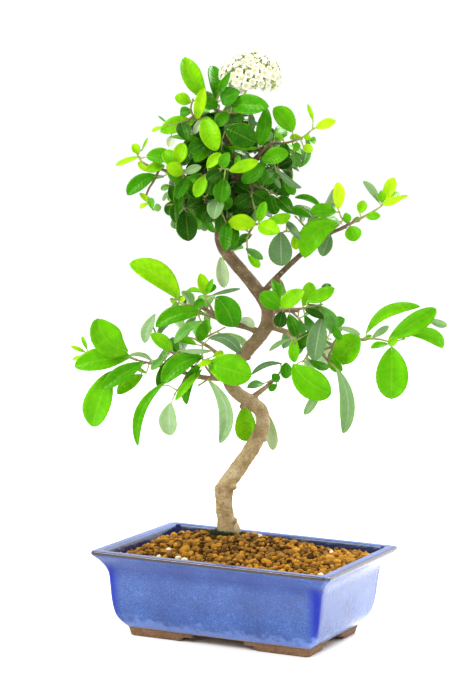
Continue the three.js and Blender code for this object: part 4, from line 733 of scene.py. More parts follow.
# The florets' directions wind down the dome by the golden angle, and lean a little out of line.
index = np.arange(FLORETS)
lift = 1 - (1 - DOME_LOWEST) * (index + 0.5) / FLORETS
spread = np.sqrt(1 - lift**2)
way = np.stack([spread * np.cos(index * GOLDEN_ANGLE), spread * np.sin(index * GOLDEN_ANGLE), lift], -1)
outward = unit(way / DOME_RADII)
outward = unit(outward + rng.normal(0, 0.22, outward.shape) + [0, 0, 0.12])
seat = DOME_CENTRE + way * DOME_RADII * rng.uniform(0.86, 1.0, (FLORETS, 1)) - outward * 0.6
side, other = frame_about(outward, index * 1.0)
floret_size = rng.uniform(0.84, 1.10, FLORETS)
is_bud = index % 9 == 4

# A petal: half a rounded fan, narrow at its claw, widest past its middle, its edge lifted like a saucer.
along = np.linspace(0, 1, 6)[:, None]
across = np.linspace(-1, 1, 5)[None, :]
half_width = 2.05 * np.sin(math.pi * (0.10 + 0.66 * along)) ** 0.9 * np.sqrt(np.clip(1.06 - along**6, 0, 1))
notch = 0.25 * np.exp(-((across / 0.25) ** 2)) * along**8
petal_out = (0.55 + 2.95 * along * (1 - 0.10 * across**2 * along) - notch)[..., None]
petal_side = (half_width * across)[..., None]
petal_up = (0.25 + 0.85 * along**1.7 + 0.30 * across**2 * along)[..., None]
openness = np.where(is_bud, 0.25, rng.uniform(0.78, 1.0, FLORETS))[:, None, None, None]
thickness = outward[:, None, None] * PETAL_THICKNESS
petal_share = np.tile(np.broadcast_to(along, (6, 5)).ravel(), 2 * FLORETS)
for petal in range(PETALS):
    angle = petal * 2 * math.pi / PETALS + rng.normal(0, 0.06, FLORETS)
    ahead = side * np.cos(angle)[:, None] + other * np.sin(angle)[:, None]
    level = other * np.cos(angle)[:, None] - side * np.sin(angle)[:, None]
    face = seat[:, None, None] + floret_size[:, None, None, None] * (
        ahead[:, None, None] * petal_out * openness
        + level[:, None, None] * petal_side * (0.45 + 0.55 * openness)
        + outward[:, None, None] * (petal_up + (1 - openness) * 2.3 * along[..., None])
    )
    flower.add_sheets(face, face - thickness, 0, petal_along=petal_share)

# The heart is a low dome; each stamen is a thread with a pale anther; a green cup holds all from behind,
# on a stalk that bends out of the head's own.
ring_turn = np.linspace(0, 2 * math.pi, 7)[:-1]
for k in range(FLORETS):
    size = floret_size[k]
    circle = side[k] * np.cos(ring_turn)[:, None] + other[k] * np.sin(ring_turn)[:, None]
    for section, finish in ((HEART, 1), (CUP, 2)):
        rings = [seat[k] + circle * reach * size + outward[k] * up * size for reach, up in section]
        flower.add_rings(np.array(rings), finish)
    for stamen in range(0 if is_bud[k] else STAMENS):
        angle = stamen * 2 * math.pi / STAMENS + k
        out = side[k] * math.cos(angle) + other[k] * math.sin(angle)
        root = seat[k] + out * 0.55 * size
        tip = seat[k] + (out * 1.35 + outward[k] * (1.7 + 0.3 * math.sin(5 * angle))) * size
        line = root + (tip - root) * np.array([0, 0.5, 0.82, 0.93, 1.0])[:, None]
        flower.add_rings(tube(line, np.array([0.09, 0.07, 0.08, 0.26, 0.18]), 3), 1)
    fork = stalk_end + [0, 0, 0.25 * (seat[k] - stalk_end)[2] - 1.5]
    foot = seat[k] - outward[k] * 1.5 * size
    pedicel = bent_line(stalk_end, 0.45 * fork + 0.55 * foot - [0, 0, 1.2], foot, 7)
    flower.add_rings(tube(pedicel, np.linspace(0.5, 0.34, 7), 5), 2)
blossom = flower.piece("flower_corymb", [petal_white.material, flower_heart.material, flower_stem.material])
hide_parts("flower_head")


# Leafy shoots: one piece for each leafy twig, with its petioles and blades. Firethorn leaves are oblong,
# glossy and finely toothed, folded a little along the rib, bright when young, dark when old, greyish below.
WOOD_ROOM, TWIG_ROOM, TWIG_CLEAR, FLOWER_ROOM, LEAF_ROOM, OWN_LEAF_ROOM = 1.6, 2.4, 1.2, 2, 3, 2
FAR_FROM_LEAF, PETIOLE_LENGTH, BLADE_FOLD, BLADE_BOW = 60, 3.5, math.radians(16), 0.1
DEPTH_SHIFTS = [0, -4, 4, -8, 8, -12, 12, -16, 16]
TURN_TRIES = [0, 45, -45, 90, -90, 135, 180]
UP = np.array([0.0, 0, 1])
TO_VIEWER = np.array([0, -1, 0.25]) / math.hypot(1, 0.25)
SAMPLE_ALONG = np.array([0.15, 0.3, 0.45, 0.6, 0.75, 0.88, 1])
SAMPLE_ACROSS = np.array([-0.85, -0.4, 0, 0.4, 0.85])
# (brightness, share of the underside that shows) for dark, mid, bright, brighter, young and youngest leaves,
# for half turned and greyish ones, and for undersides: pale ones darkened as painted shade (g), pale and
# palest
TONES = {
    "d": (0.25, 0), "m": (0.48, 0), "b": (0.69, 0), "c": (0.76, 0), "y": (0.87, 0), "z": (0.98, 0),
    "o": (0.52, 0.35), "g": (0.24, 1), "p": (0.5, 1), "w": (0.86, 1),
}
# For each shoot: the places of its twigs (across, depth, up); its leaves as they show from the front (base
# across, base up, tip across, tip up, width, depth of the tip from the base, then if needed the roll in
# degrees and the side bow), in millimetres; each leaf's tone; and how many more leaves go on behind.
SHOOTS = {
    "low_left_tip": (
        [((-44, -16, 176.5), (-54, -15, 179), (-62, -16, 181), (-68, -17, 183)), ((-56, -15, 179.5),
         (-66, -19, 176), (-74, -21, 173), (-81, -21, 171)), ((-62, -16, 181), (-74, -11, 184),
         (-86, -9, 185), (-95, -9, 184))],
        [(-68, 187, -88.5, 208.5, 21.5, -3, 10, -0.2), (-66, 183.5, -103, 176.5, 16, -5, 10),
         (-78.5, 174, -91, 136, 19.5, 4, 10), (-57.5, 179.5, -84.5, 162.5, 11.5, -12, 10),
         (-58, 171.5, -74.5, 159, 9.5, -6, 10), (-96.5, 184.5, -106.5, 188.5, 3, -1),
         (-95.5, 186, -99.5, 194.5, 3, 1), (-97.5, 182, -105.5, 179, 3, 2),
         (-55.5, 172, -64.5, 177, 3, -2)], "bbbmbyyyy", 0,
    ),
    "low_left_mid": (
        [((-20, -13.5, 170.5), (-26, -16, 178), (-33, -18, 184), (-41, -19, 188), (-48, -19, 196),
         (-53, -18, 206)), ((-25, -15.5, 177), (-31, -22, 168), (-36, -25, 161))],
        [(-18, 184, -44.5, 166.5, 14, -9, 10, 0.12), (-38.5, 188.5, -53, 199.5, 9.5, -6, 5),
         (-50.5, 212, -57.5, 192.5, 8.5, -2, 20), (-35, 188.5, -12.5, 189, 3.5, 0, 20),
         (-18.5, 180, -28.5, 153, 8.5, -8, 20, 0.11), (-19, 176, -36, 156, 6, 3, 10),
         (-42.5, 168, -60, 125, 8, -2, 20, 0.12), (-39, 154.5, -39, 132.5, 13.5, 0, 20),
         (-44, 184, -52.5, 175.5, 5.5, -3), (-38.5, 185, -48, 163.5, 8.5, 2)], "mbppmbmpod", 1,
    ),
    "low_near": (
        [((-8, -8.5, 169), (-12, -14, 172), (-16, -18, 177), (-19, -20, 184), (-19, -21, 192)),
         ((-12, -14, 172), (-17, -17, 168), (-20, -18, 166))],
        [(-15.5, 180, 13.5, 172.5, 21.5, -4), (-15.5, 197, 6, 187, 8.5, 0, 20, -0.24),
         (-15, 169, -6.5, 126.5, 10.5, 0, 20, -0.24), (-12.5, 184.5, -5, 187.5, 4, -2),
         (-12.5, 182.5, -21.5, 179, 4.5, -2), (-22.5, 192.5, -37, 197, 5.5, 2, 10)], "bgpyyb", 0,
    ),
    "mid_left_tip": (
        [((-17, -5.6, 214), (-24, -8, 217), (-30, -9, 217.5), (-37, -10, 219)), ((-21, -7, 216),
         (-22, -12, 211), (-20, -15, 207))],
        [(-35, 221, -68.5, 244.5, 17, -4, 10, 0.09), (-36.5, 219, -41, 220, 3, -2),
         (-35.5, 218, -40, 217.5, 3, -3), (-34, 219, -32, 223.5, 3.5, -1),
         (-18.5, 212.5, -50.5, 202.5, 12.5, -6, 15, 0.07), (-18.5, 208, -37.5, 193.5, 9, -6, 35),
         (-14.5, 210, -21.5, 194, 9, 2, 10)], "bybymom", 1,
    ),
    "mid_left_rosette": (
        [((-12, -4.6, 210), (-14, -9, 216), (-17, -11, 221), (-18, -11, 225))],
        [(-18.5, 224.5, -21.5, 239, 8, -2, 10), (-20, 226, -31, 225.5, 4.5, -3, 30, 0.08),
         (-17, 225.5, -11.5, 231, 5, -2), (-19, 222, -25, 216, 6, -4),
         (-11, 223.5, 1, 204, 18.5, -3, 10, -0.1), (-14, 224.5, 5, 229, 3, 3),
         (-17.5, 225, -13, 236.5, 4.5, -3), (3.5, 207, 14.5, 203, 6, 6, 0, -0.2)], "bbmmmgbw", 0,
    ),
    "behind_bend": (
        [((9, -1, 155.5), (9, 7, 154), (8, 11, 150))],
        [(10, 149.5, 11.5, 123, 15, 0, 5), (21, 149, 29, 116.5, 9, 3, 20, -0.1)], "bw", 0,
    ),
    "low_right": (
        [((26, 0.5, 165.5), (31, -4, 171), (33, -6, 175))],
        [(36.5, 180.5, 36.5, 170, 8.5, -4), (34, 179.5, 13.5, 172, 4, -4, 0, 0.13),
         (32, 167, 27.5, 172.5, 6, -3), (31, 165, 25.5, 161, 5, -4), (22, 165.5, 11, 163.5, 6, -8, 20)],
        "mgmmo", 0,
    ),
    "right_fork": (
        [((60.5, -8.7, 187), (64, -13, 183), (68, -16, 180), (71, -17, 177)), ((64, -13, 183),
         (66, -14, 190), (69, -13, 197), (72, -12, 203))],
        [(69.5, 205, 85, 200.5, 4, 0, 20, -0.1), (67, 206, 72.5, 197.5, 6, -5, 20),
         (64.5, 188.5, 73, 175.5, 9, 4, 30), (69.5, 179, 75, 135, 11, 0, 20, -0.16)], "pmmp", 1,
    ),
    "right_low": (
        [((52, -5.2, 193.5), (51, -11, 188), (48, -14, 183))],
        [(41, 180.5, 66.5, 161.5, 20.5, -4, 5, 0.09), (51, 183.5, 65, 177, 6.5, 5, 25),
         (60.5, 166.5, 49, 146, 7, 8, 20, -0.1)], "bmp", 1,
    ),
    "right_inner": (
        [((36, 1, 200), (39, -5, 197), (41, -8, 194))],
        [(38.5, 196, 25, 188, 4, -3, 25), (42, 197, 42, 181, 8, -3, 15),
         (53, 202, 45.5, 189.5, 8.5, 2, 20)], "pbd", 0,
    ),
    "high_right": (
        [((40, -4.2, 215), (46, -10, 217), (52, -12, 218.5), (58, -12, 220)), ((45, -9, 216.7),
         (39, -12, 217), (32, -12, 217))],
        [(48.5, 222, 67, 231.5, 9.5, -3, 15), (46.5, 218.5, 51.5, 234, 10.5, 6, 20),
         (49.5, 220, 66, 201, 11.5, 2, 30, -0.26), (59.5, 212, 55, 183, 14, 8, 10),
         (32, 217.5, 18, 226.5, 12.5, -3), (30, 220, 26, 235, 8, 2, 30), (32, 218.5, 47, 230.5, 11, -4),
         (33.5, 215.5, 31, 204.5, 9.5, 2), (37.5, 213.5, 43, 199, 8.5, -3),
         (43.5, 209, 48, 200.5, 5.5, -1), (47.5, 217, 60.5, 211.5, 5.5, 0), (48, 212.5, 53, 201, 7.5, 3)],
        "bbogmmbddodm", 1,
    ),
    "far_right": (
        [((58, -7.8, 188.5), (66, -3, 191), (76, -3, 195), (86, -5, 197), (97, -7, 197.5), (106, -9, 196),
         (113, -10, 198))],
        [(106, 193, 106.5, 158.5, 22.5, -5), (104, 198, 135, 218.5, 14, 2, 10),
         (89, 200.5, 124, 220, 8.5, -4, 20, -0.21), (116, 201, 140.5, 192, 10, 4, 10, -0.19),
         (127.5, 212.5, 143, 206.5, 5.5, 4, 20), (93, 198, 104, 206, 5, 2),
         (86, 195.5, 93, 199.5, 3.5, 2), (103.5, 194.5, 92, 192, 5.5, -4, 25),
         (84, 200.5, 71, 181, 20, -6, 10), (104, 194, 109.5, 199.5, 6, -3)], "bbbbppbbbb", 0,
    ),
    "upper_right_tip": (
        [((71, -5.6, 270.5), (79, -8, 275), (86, -9, 279), (94, -10, 284), (99, -11, 288)),
         ((76, -6.9, 273.3), (71, -10, 277), (69, -11, 281))],
        [(76.5, 272, 80, 262.5, 11.5, -4), (75, 274, 73, 281, 6, -3), (77.5, 275, 83.5, 277, 4, -2),
         (82.5, 280.5, 85, 289, 7, 1), (86.5, 278.5, 96, 279.5, 6, -3), (95, 288, 84, 302, 6, 1, 20),
         (97, 288, 96, 296.5, 5.5, -3), (98, 288, 104.5, 304.5, 8.5, 2), (97.5, 287, 109, 292, 6, -3),
         (101, 288.5, 114, 293, 3, 3), (67, 281.5, 49.5, 281, 10.5, -3, 10),
         (68, 283, 67.5, 301, 8.5, 0, 10), (57.5, 283, 39.5, 290, 5, 3, 20, 0.12),
         (99.5, 288.5, 108.5, 294, 5.5, 1), (69.5, 273, 47, 251, 17, -6, 0, 0.22)], "bbbbbpbzzzbzmbb", 0,
    ),
    "upper_right_mid": (
        [((56, -4.3, 262), (52, -9, 267), (46, -11, 272), (41, -11, 277)), ((52.6, -8.6, 266.4),
         (43, -11, 267.3), (34.8, -11, 268))],
        [(63.5, 266, 58.5, 252, 10, 3, 10), (31, 267.5, 32, 245, 16.5, 0, 10), (41, 267, 41, 256, 7, -4),
         (34, 275, 43.5, 263.5, 5.5, -3), (51, 277, 33, 282, 7, 2, 20)], "ggygm", 1,
    ),
    "crown_front": (
        [((10, -16.8, 272.2), (16, -20, 273), (21, -21, 275)), ((13, -18.5, 272.5), (9, -20, 264),
         (9, -19, 257))],
        [(14.5, 273, -4, 273.5, 11.5, -5), (16, 274, 20, 288, 7, -2), (16, 272, 30, 269, 11.5, -5),
         (22, 276, 37, 279, 8, 2, 30), (8, 256.5, 19.5, 250, 5.5, -2), (9.5, 252, 17.5, 244.5, 6, 0),
         (8, 264, -2, 256, 6, 2), (1, 272, 0, 258, 7, -2), (12, 266, 4, 261, 6, 2)], "ybybobddm", 0,
    ),
    "crown_left_tip": (
        [((-43, -5.3, 304.8), (-50, -7, 307), (-57, -8, 309), (-62, -9, 312), (-65, -9, 317)),
         ((-50, -7, 307), (-53, -10, 300), (-57, -11, 293), (-58, -11, 287), (-54, -11, 281))],
        [(-51.5, 302.5, -70.5, 289.5, 11, -3, 10, 0.06), (-46.5, 309, -58.5, 305.5, 7.5, -5, 10),
         (-57, 305, -64, 311, 5.5, -2), (-63.5, 316.5, -67.5, 323, 6, 0), (-62.5, 315, -79, 308.5, 4, 2),
         (-61.5, 319, -58, 327, 2, -1), (-51, 309.5, -54, 317, 8.5, 2, 20),
         (-55, 284.5, -62.5, 291, 4, -1), (-56.5, 284.5, -62.5, 281, 3.5, -2),
         (-53, 281, -48, 282, 5.5, -2), (-55.5, 288, -53.5, 281.5, 5, -2)], "mbyyyygyyob", 0,
    ),
    "crown_low_left": (
        [((-32, -10.6, 282.7), (-38, -14, 284), (-43, -15, 284))],
        [(-32, 281.5, -29.5, 260.5, 15, -4, 5), (-37, 285, -45, 278, 9.5, 3),
         (-39, 285, -38, 273, 7, -3, 15), (-39, 286, -42, 297, 9, -4, 15),
         (-38.5, 276.5, -38, 268, 7.5, -3), (-41, 293.5, -42, 286, 5.5, -4),
         (-42.5, 296.5, -48.5, 294, 4.5, -2)], "ddddpbo", 1,
    ),
    "crown_inner_left": (
        [((-27, -5.9, 294), (-26, -14, 299), (-22, -21, 303), (-15, -25, 306), (-9, -26, 309),
         (-2, -26, 308)), ((-26, -14, 299), (-33, -19, 303), (-38, -20, 310))],
        [(-38, 311, -34, 325, 10, -2), (-33, 305, -22, 310, 6, -5), (-18.5, 309, -9.5, 319, 7.5, -2),
         (-9, 310, -4, 320, 8, -3), (-22, 305.5, -34, 296.5, 6, -4), (-19, 304, -25.5, 290, 9, -4),
         (-9, 307.5, -18.5, 301.5, 9, -3), (-7, 303, -9, 287, 12, -2), (-34, 305, -45, 310, 10, -3),
         (-37, 308, -47, 319, 10, -3), (-31, 302, -38, 289, 9, -3), (-29, 301, -27, 313, 9, -4),
         (-4, 307.5, 15, 314.5, 8.5, -4, 10), (0, 309.5, 2.5, 317.5, 4, 3), (-36, 300, -36, 280, 8, -3)],
        "cpcmmbdmccddybd", 0,
    ),
    "crown_inner_right": (
        [((6.5, 0.6, 299), (12, -7, 298), (19, -10, 295), (27, -11, 292)), ((12, -7, 298), (11, -13, 291),
         (13, -16, 284))],
        [(20, 296, 31, 304, 10, -3), (27, 293, 40, 297, 9, -3), (28, 290, 38, 281, 10, -3),
         (23, 292, 27, 279, 10, -3), (11, 291, 1, 284, 10, -3), (13, 283, 5, 275, 9, -2),
         (12, 293, 22, 287, 11, -6), (10, 293, 0, 298, 10, -4), (14, 284, 25, 279, 10, 2),
         (17, 297, 12, 309, 10, -3)], "dddddddddd", 0,
    ),
    "crown_inner_low": (
        [((-18.3, -5, 284.5), (-20, -12, 287), (-19, -18, 290)), ((-20, -12, 287), (-14, -17, 284),
         (-9, -19, 281))],
        [(-20, 290, -31, 295, 10, -2), (-20, 288, -31, 283, 9, -2), (-18, 291, -14, 302, 9, -3),
         (-19, 286, -22, 274, 10, -2), (-10, 282, -19, 274, 9, -3), (-9, 282, -2, 290, 9, -2),
         (-9, 280, -8, 266, 9, -1), (-5, 274, -5, 256, 9, -3), (-9, 290, -13, 276, 12, 4, 20)],
        "ddddddddp", 0,
    ),
    "crown_top_left": (
        [((-23, -7.3, 338.3), (-28, -11, 342), (-30, -12, 347), (-29, -12, 352)), ((-28, -11, 342),
         (-35, -14, 338), (-45, -15, 336))],
        [(-20, 353.5, -34.5, 380.5, 14, 2, 10, -0.1), (-26, 339.5, -21.5, 361, 8, -4),
         (-30, 351, -40.5, 354.5, 8.5, -3), (-29, 345, -37, 344, 7.5, 5),
         (-27.5, 338.5, -49.5, 331.5, 12, -6, 10), (-46.5, 335, -55.5, 331.5, 3, 1),
         (-44.5, 336.5, -51.5, 341.5, 1.5, 2), (-36, 338, -32, 327, 10, -4),
         (-42, 329, -43.5, 322, 5.5, -2), (-21, 342, -12.5, 320, 14, -8, 5),
         (-22, 341, -27.5, 330.5, 5, -3)], "bycmcyodwcw", 0,
    ),
    "crown_leader": (
        [((-11, -1.5, 338.5), (-13, -4, 346), (-13, -5, 351)), ((-13, -4, 346), (-7, -9, 345),
         (-2, -12, 345), (4, -13, 346), (9, -13, 349))],
        [(-13.5, 352, -17, 375, 10.5, 2, 15), (-12, 357, -4.5, 371.5, 5.5, -20, 10),
         (-10.5, 353, 2, 359, 12.5, -2, 10), (-13, 344.5, -6.5, 333, 8.5, -4, 20),
         (-3.5, 350, 21, 350, 14, -5, 5), (19, 349.5, 15.5, 324, 10.5, -4, 10, -0.08),
         (9, 346, 11, 333.5, 5, -3), (-12, 349, -23, 351, 9, -2), (-5, 345, -13, 336, 9, -3)],
        "mmmpmmgmm", 1,
    ),
    "crown_mid_front": (
        [((-3, 2.8, 317), (-7, -6, 320), (-10, -14, 324), (-9, -19, 328)), ((-9, -11, 322.5),
         (-14, -12, 321), (-20, -12, 325))],
        [(-7, 335, 13, 326, 17, -3, 5), (-9.5, 322.5, 15.5, 322, 3, 4, 20),
         (-14.5, 322.5, -43, 328, 5, 1, 20), (-17, 324, -27, 313, 10, -2), (-16, 325, -27, 335, 10, -4),
         (-11, 323, -4, 313, 11, -4), (-19, 325, -31, 319, 10, -4), (-10, 326, -14, 338, 10, 3)],
        "dbbmdddd", 0,
    ),
    "crown_right": (
        [((15, -3, 317), (23, -7, 325), (30, -8, 325.5), (37, -8, 327), (44, -8, 330), (50, -8, 335)),
         ((23, -7, 325), (24, -13, 318), (26, -16, 311), (28, -17, 304))],
        [(17, 314, 34.5, 320, 11.5, -5), (37, 333, 24, 348.5, 13.5, -3, 5, 0.05),
         (50.5, 340.5, 46.5, 351.5, 3, 1), (52, 336, 65, 341, 7, -2), (40, 326.5, 39.5, 320.5, 5.5, -4),
         (44, 324, 50.5, 321, 6, -3), (48, 328, 52.5, 327.5, 5, 3), (44, 328.5, 35.5, 329.5, 5, 2),
         (38.5, 319.5, 39, 310, 9.5, 2), (31.5, 327, 25.5, 332.5, 3, -4), (23, 327, 18, 334, 7, -4),
         (27.5, 309, 43.5, 297.5, 6, -8, 45), (32, 303.5, 39, 292.5, 7.5, 3),
         (19.5, 314, 4, 300.5, 11, -4, 5, -0.11), (28, 310, 37, 315, 9, -4), (27, 307, 18, 300, 10, -4),
         (32, 326, 31, 314, 9, -4), (44, 330.5, 49, 329, 4, -2), (24, 306, 30, 296.5, 3.5, -2)],
        "bbyybybyoypgmmdddyg", 1,
    ),
    "low_back": (
        [((-16, 26, 186), (-26, 36, 190), (-34, 40, 191)), ((-23, 33, 188.8), (-14, 39, 193),
         (-6, 43, 197))],
        [], "", 7,
    ),
    "low_left_back": (
        [((-40, -15.2, 175.8), (-45, -6, 177), (-49, 2, 178), (-54, 8, 177))],
        [], "", 2,
    ),
    "mid_left_back": (
        [((-9, -3.5, 208), (-16, 6, 209), (-24, 13, 210), (-32, 17, 210))],
        [], "", 5,
    ),
    "mid_back": (
        [((39, 32, 211.5), (46, 40, 204), (50, 44, 198)), ((41.1, 34.4, 209.3), (36, 41, 211),
         (31, 45, 213))],
        [], "", 7,
    ),
    "right_back": (
        [((48, -3, 196.5), (55, 5, 196), (61, 12, 196), (66, 18, 194))],
        [], "", 5,
    ),
    "trunk_back": (
        [((-1, -1.7, 248), (-4, 8, 248), (-6, 17, 247), (-7, 25, 244))],
        [(-9, 247.5, -6, 227, 9, 0)], "w", 1,
    ),
    "upper_right_back": (
        [((55, -3.8, 261), (57, 6, 268), (58, 14, 274), (58, 21, 278))],
        [], "", 5,
    ),
    "crown_back": (
        [((-12, 29, 300), (-14, 38, 309), (-14, 42, 317), (-12, 43, 325)), ((-14, 38, 309),
         (-23, 41, 306), (-31, 41, 303)), ((-14, 38, 309), (-6, 44, 306), (2, 46, 302))],
        [], "", 10,
    ),
    "crown_back_right": (
        [((13, 20, 308.5), (20, 29, 312), (24, 33, 318)), ((20, 29, 312), (27, 28, 307), (32, 28, 302))],
        [], "", 7,
    ),
    "crown_back_top": (
        [((-8, 1, 330.5), (-10, 10, 335), (-12, 18, 341), (-12, 22, 348)), ((-10, 10, 335), (-3, 16, 338),
         (4, 20, 342)), ((-12, 18, 341), (-21, 21, 340))],
        [], "", 8,
    ),
    "crown_back_left": (
        [((-30, -5.8, 297), (-34, 5, 299), (-40, 14, 301), (-46, 19, 303)), ((-34, 5, 299),
         (-32, 14, 293), (-29, 22, 288))],
        [], "", 6,
    ),
}


def spread_points(route):
    """Points about every millimetre along a route of straight stretches."""
    pieces = []
    for here, after in zip(route[:-1], route[1:]):
        steps = math.ceil(np.linalg.norm(after - here))
        pieces.append(here + (after - here) * (np.arange(steps) / steps)[:, None])
    return np.vstack([*pieces, route[-1:]])


def blade_share(t):
    """Half width as a share of the widest: a sine of a power of the length, so widest past the middle."""
    return np.maximum(0, np.sin(math.pi * t**1.2)) ** 0.62


def blade_frame(leaf, t):
    """The rib is a parabola from base to tip, bent out of its face by the bow and aside by the side bow.
    Gives its points, the face's normals and the directions to the right, at shares t of its length."""
    t = np.asarray(t, float)[:, None]
    chord = leaf["tip"] - leaf["base"]
    length = np.linalg.norm(chord)
    along = chord / length
    face = unit(leaf["hint"] - along * (leaf["hint"] @ along))
    face = face * math.cos(leaf["roll"]) + np.cross(along, face) * math.sin(leaf["roll"])
    right = np.cross(along, face)
    control = (leaf["base"] + leaf["tip"]) / 2 + 2 * length * (face * BLADE_BOW + right * leaf["side_bow"])
    point = leaf["base"] * (1 - t) ** 2 + control * 2 * t * (1 - t) + leaf["tip"] * t * t
    heading = unit((control - leaf["base"]) * (1 - t) + (leaf["tip"] - control) * t)
    normal = unit(face - heading * (heading @ face)[:, None])
    return point, normal, np.cross(heading, normal)


def blade_samples(leaf):
    """Points of a leaf to measure its room from. The two halves rise from the rib in straight lines, by
    the fold's angle."""
    point, normal, right = blade_frame(leaf, SAMPLE_ALONG)
    reach = (leaf["width"] / 2 * blade_share(SAMPLE_ALONG))[:, None, None]
    across = SAMPLE_ACROSS[None, :, None]
    sheet = point[:, None] + right[:, None] * across * reach * math.cos(BLADE_FOLD)
    return (sheet + normal[:, None] * np.abs(across) * reach * math.sin(BLADE_FOLD)).reshape(-1, 3)


# What a leaf keeps clear of: the wood, the twigs, the flower head and the leaves placed before it, each
# as (points, owner, the room that others need, the room that the owner's own leaves need).
obstacles = []
for limb in [TRUNK, *BRANCHES]:
    for here, after in zip(limb[:-1], limb[1:]):
        stretch = spread_points(np.array([here[:3], after[:3]], float))
        obstacles.append((stretch, "wood", max(here[3], after[3]) + WOOD_ROOM, 0))
wood_obstacles = list(obstacles)
obstacles.append((spread_points(np.array(FLOWER_STALK, float)[:, :3]), "flower", TWIG_ROOM, 0))
obstacles.append((DOME_CENTRE[None], "flower", DOME_RADII[0] + FLOWER_ROOM, 0))


def kept_clear(group, owner):
    """All points of a group of obstacles, and the room that the owner's leaves need from each."""
    rooms = [own_room if kept_by == owner else room for _, kept_by, room, own_room in group]
    points = [points for points, *_ in group]
    return np.concatenate(points), np.repeat(rooms, [len(part) for part in points])


def clear_of_wood(points):
    wood_points, wood_room = kept_clear(wood_obstacles, None)
    distance = np.linalg.norm(points[:, None] - wood_points[None], axis=2)
    return points[(distance > wood_room - WOOD_ROOM + TWIG_CLEAR).all(1)]


def room_of(leaf, owner):
    """The least distance from the blade to what it keeps clear of, less the room that this needs."""
    points, wanted = kept_clear(obstacles, owner)
    near = (wanted > 0) & (np.linalg.norm(points - leaf["base"], axis=1) <= FAR_FROM_LEAF)
    away = np.linalg.norm(points[near][None] - blade_samples(leaf)[:, None], axis=2)
    return (away - wanted[near]).min(initial=np.inf)


def best_of(choices, owner):
    """The first choice that has room, or else the one with the most."""
    best, most = None, -np.inf
    for leaf in choices:
        room = room_of(leaf, owner)
        if best is None or room > most:
            best, most = leaf, room
        if room >= 0:
            break
    return best, most


def leaf_from_front(points, row, shift):
    """A leaf as read from the front: its root is the nearest place on the shoot's twigs."""
    base_across, base_up, tip_across, tip_up, width, depth, roll, side_bow = (*row, 0, 0)[:8]
    root = points[np.argmin(np.hypot(points[:, 0] - base_across, points[:, 2] - base_up))]
    base = np.array([base_across, root[1] + 0.15 * (depth + shift), base_up])
    tip = np.array([tip_across, root[1] + depth + shift, tip_up])
    return dict(
        root=root, base=base, tip=tip, width=width, hint=TO_VIEWER, roll=math.radians(roll),
        side_bow=side_bow,
    )


def leaf_on_spiral(twig, share, angle, length, width, roll):
    """A further leaf, turned round the twig from the one before it by the golden angle."""
    middle = math.floor((len(twig) - 1) * share + 0.5)
    root = twig[middle]
    heading = unit(twig[min(len(twig) - 1, middle + 2)] - twig[max(0, middle - 2)])
    level = unit(np.cross(heading, UP))
    rise = np.cross(level, heading)
    way = unit(heading * 0.5 + 0.85 * (level * math.cos(angle) + rise * math.sin(angle)) + UP * 0.12)
    base = root + way * PETIOLE_LENGTH
    tip = base + way * length - UP * 0.15 * length
    hint = unit(UP + 0.5 * unit(np.array([root[0], root[1], 0.0])))
    return dict(root=root, base=base, tip=tip, width=width, hint=hint, roll=roll, side_bow=0)


def repeatable(state):
    """Numbers between 0 and 1 that are the same every time: a state over 2147483647, where each next
    state is 16807 times the last, less all whole multiples of 2147483647."""
    while True:
        state = state * 16807 % 2147483647
        yield state / 2147483647


def put_leaf(placed, leaf, tone, owner):
    """Keeps a leaf, which from now on is in the way of the next ones."""
    placed.append(dict(leaf, tone=tone))
    obstacles.append((blade_samples(leaf), owner, LEAF_ROOM, OWN_LEAF_ROOM))


shoots = {}
for name, (twigs, *_) in SHOOTS.items():
    routes = [np.array(twig, float) for twig in twigs]
    lines = [spread_points(route) for route in routes]
    obstacles += [(line, name, TWIG_ROOM, 0) for line in lines]
    shoots[name] = dict(routes=routes, lines=lines, points=clear_of_wood(np.vstack(lines)), placed=[])
for name, (_, rows, tones, _) in SHOOTS.items():
    for row, tone in zip(rows, tones):
        choices = (leaf_from_front(shoots[name]["points"], row, shift) for shift in DEPTH_SHIFTS)
        leaf, _ = best_of(choices, name)
        put_leaf(shoots[name]["placed"], leaf, tone, name)
numbers = repeatable(2024)
for name, (_, rows, _, more) in SHOOTS.items():
    lines = shoots[name]["lines"]
    # A shoot that shows in front gets its further leaves behind it only.
    behind = 4 if len(rows) > 1 else -8
    for k in range(more):
        twig = clear_of_wood(lines[k % len(lines)])
        share = 0.3 + 0.7 * (k // len(lines) + next(numbers)) / math.ceil(more / len(lines))
        length = 15 + 11 * next(numbers)
        width = length * (0.46 + 0.12 * next(numbers))
        roll = (next(numbers) - 0.5) * 0.8
        first = k * GOLDEN_ANGLE + next(numbers)
        angles = [first + math.radians(turn) for turn in TURN_TRIES]
        choices = [leaf_on_spiral(twig, share, angle, length, width, roll) for angle in angles]
        choices = [leaf for leaf in choices if leaf["tip"][1] > leaf["root"][1] + behind]
        leaf, room = best_of(choices, name)
        if leaf is not None and room >= 0:
            # The leaves on the trunk's back turn their pale undersides to the front.
            tone = "p" if name == "trunk_back" else "dmdmb"[(k + len(name)) % 5]
            put_leaf(shoots[name]["placed"], leaf, tone, name)

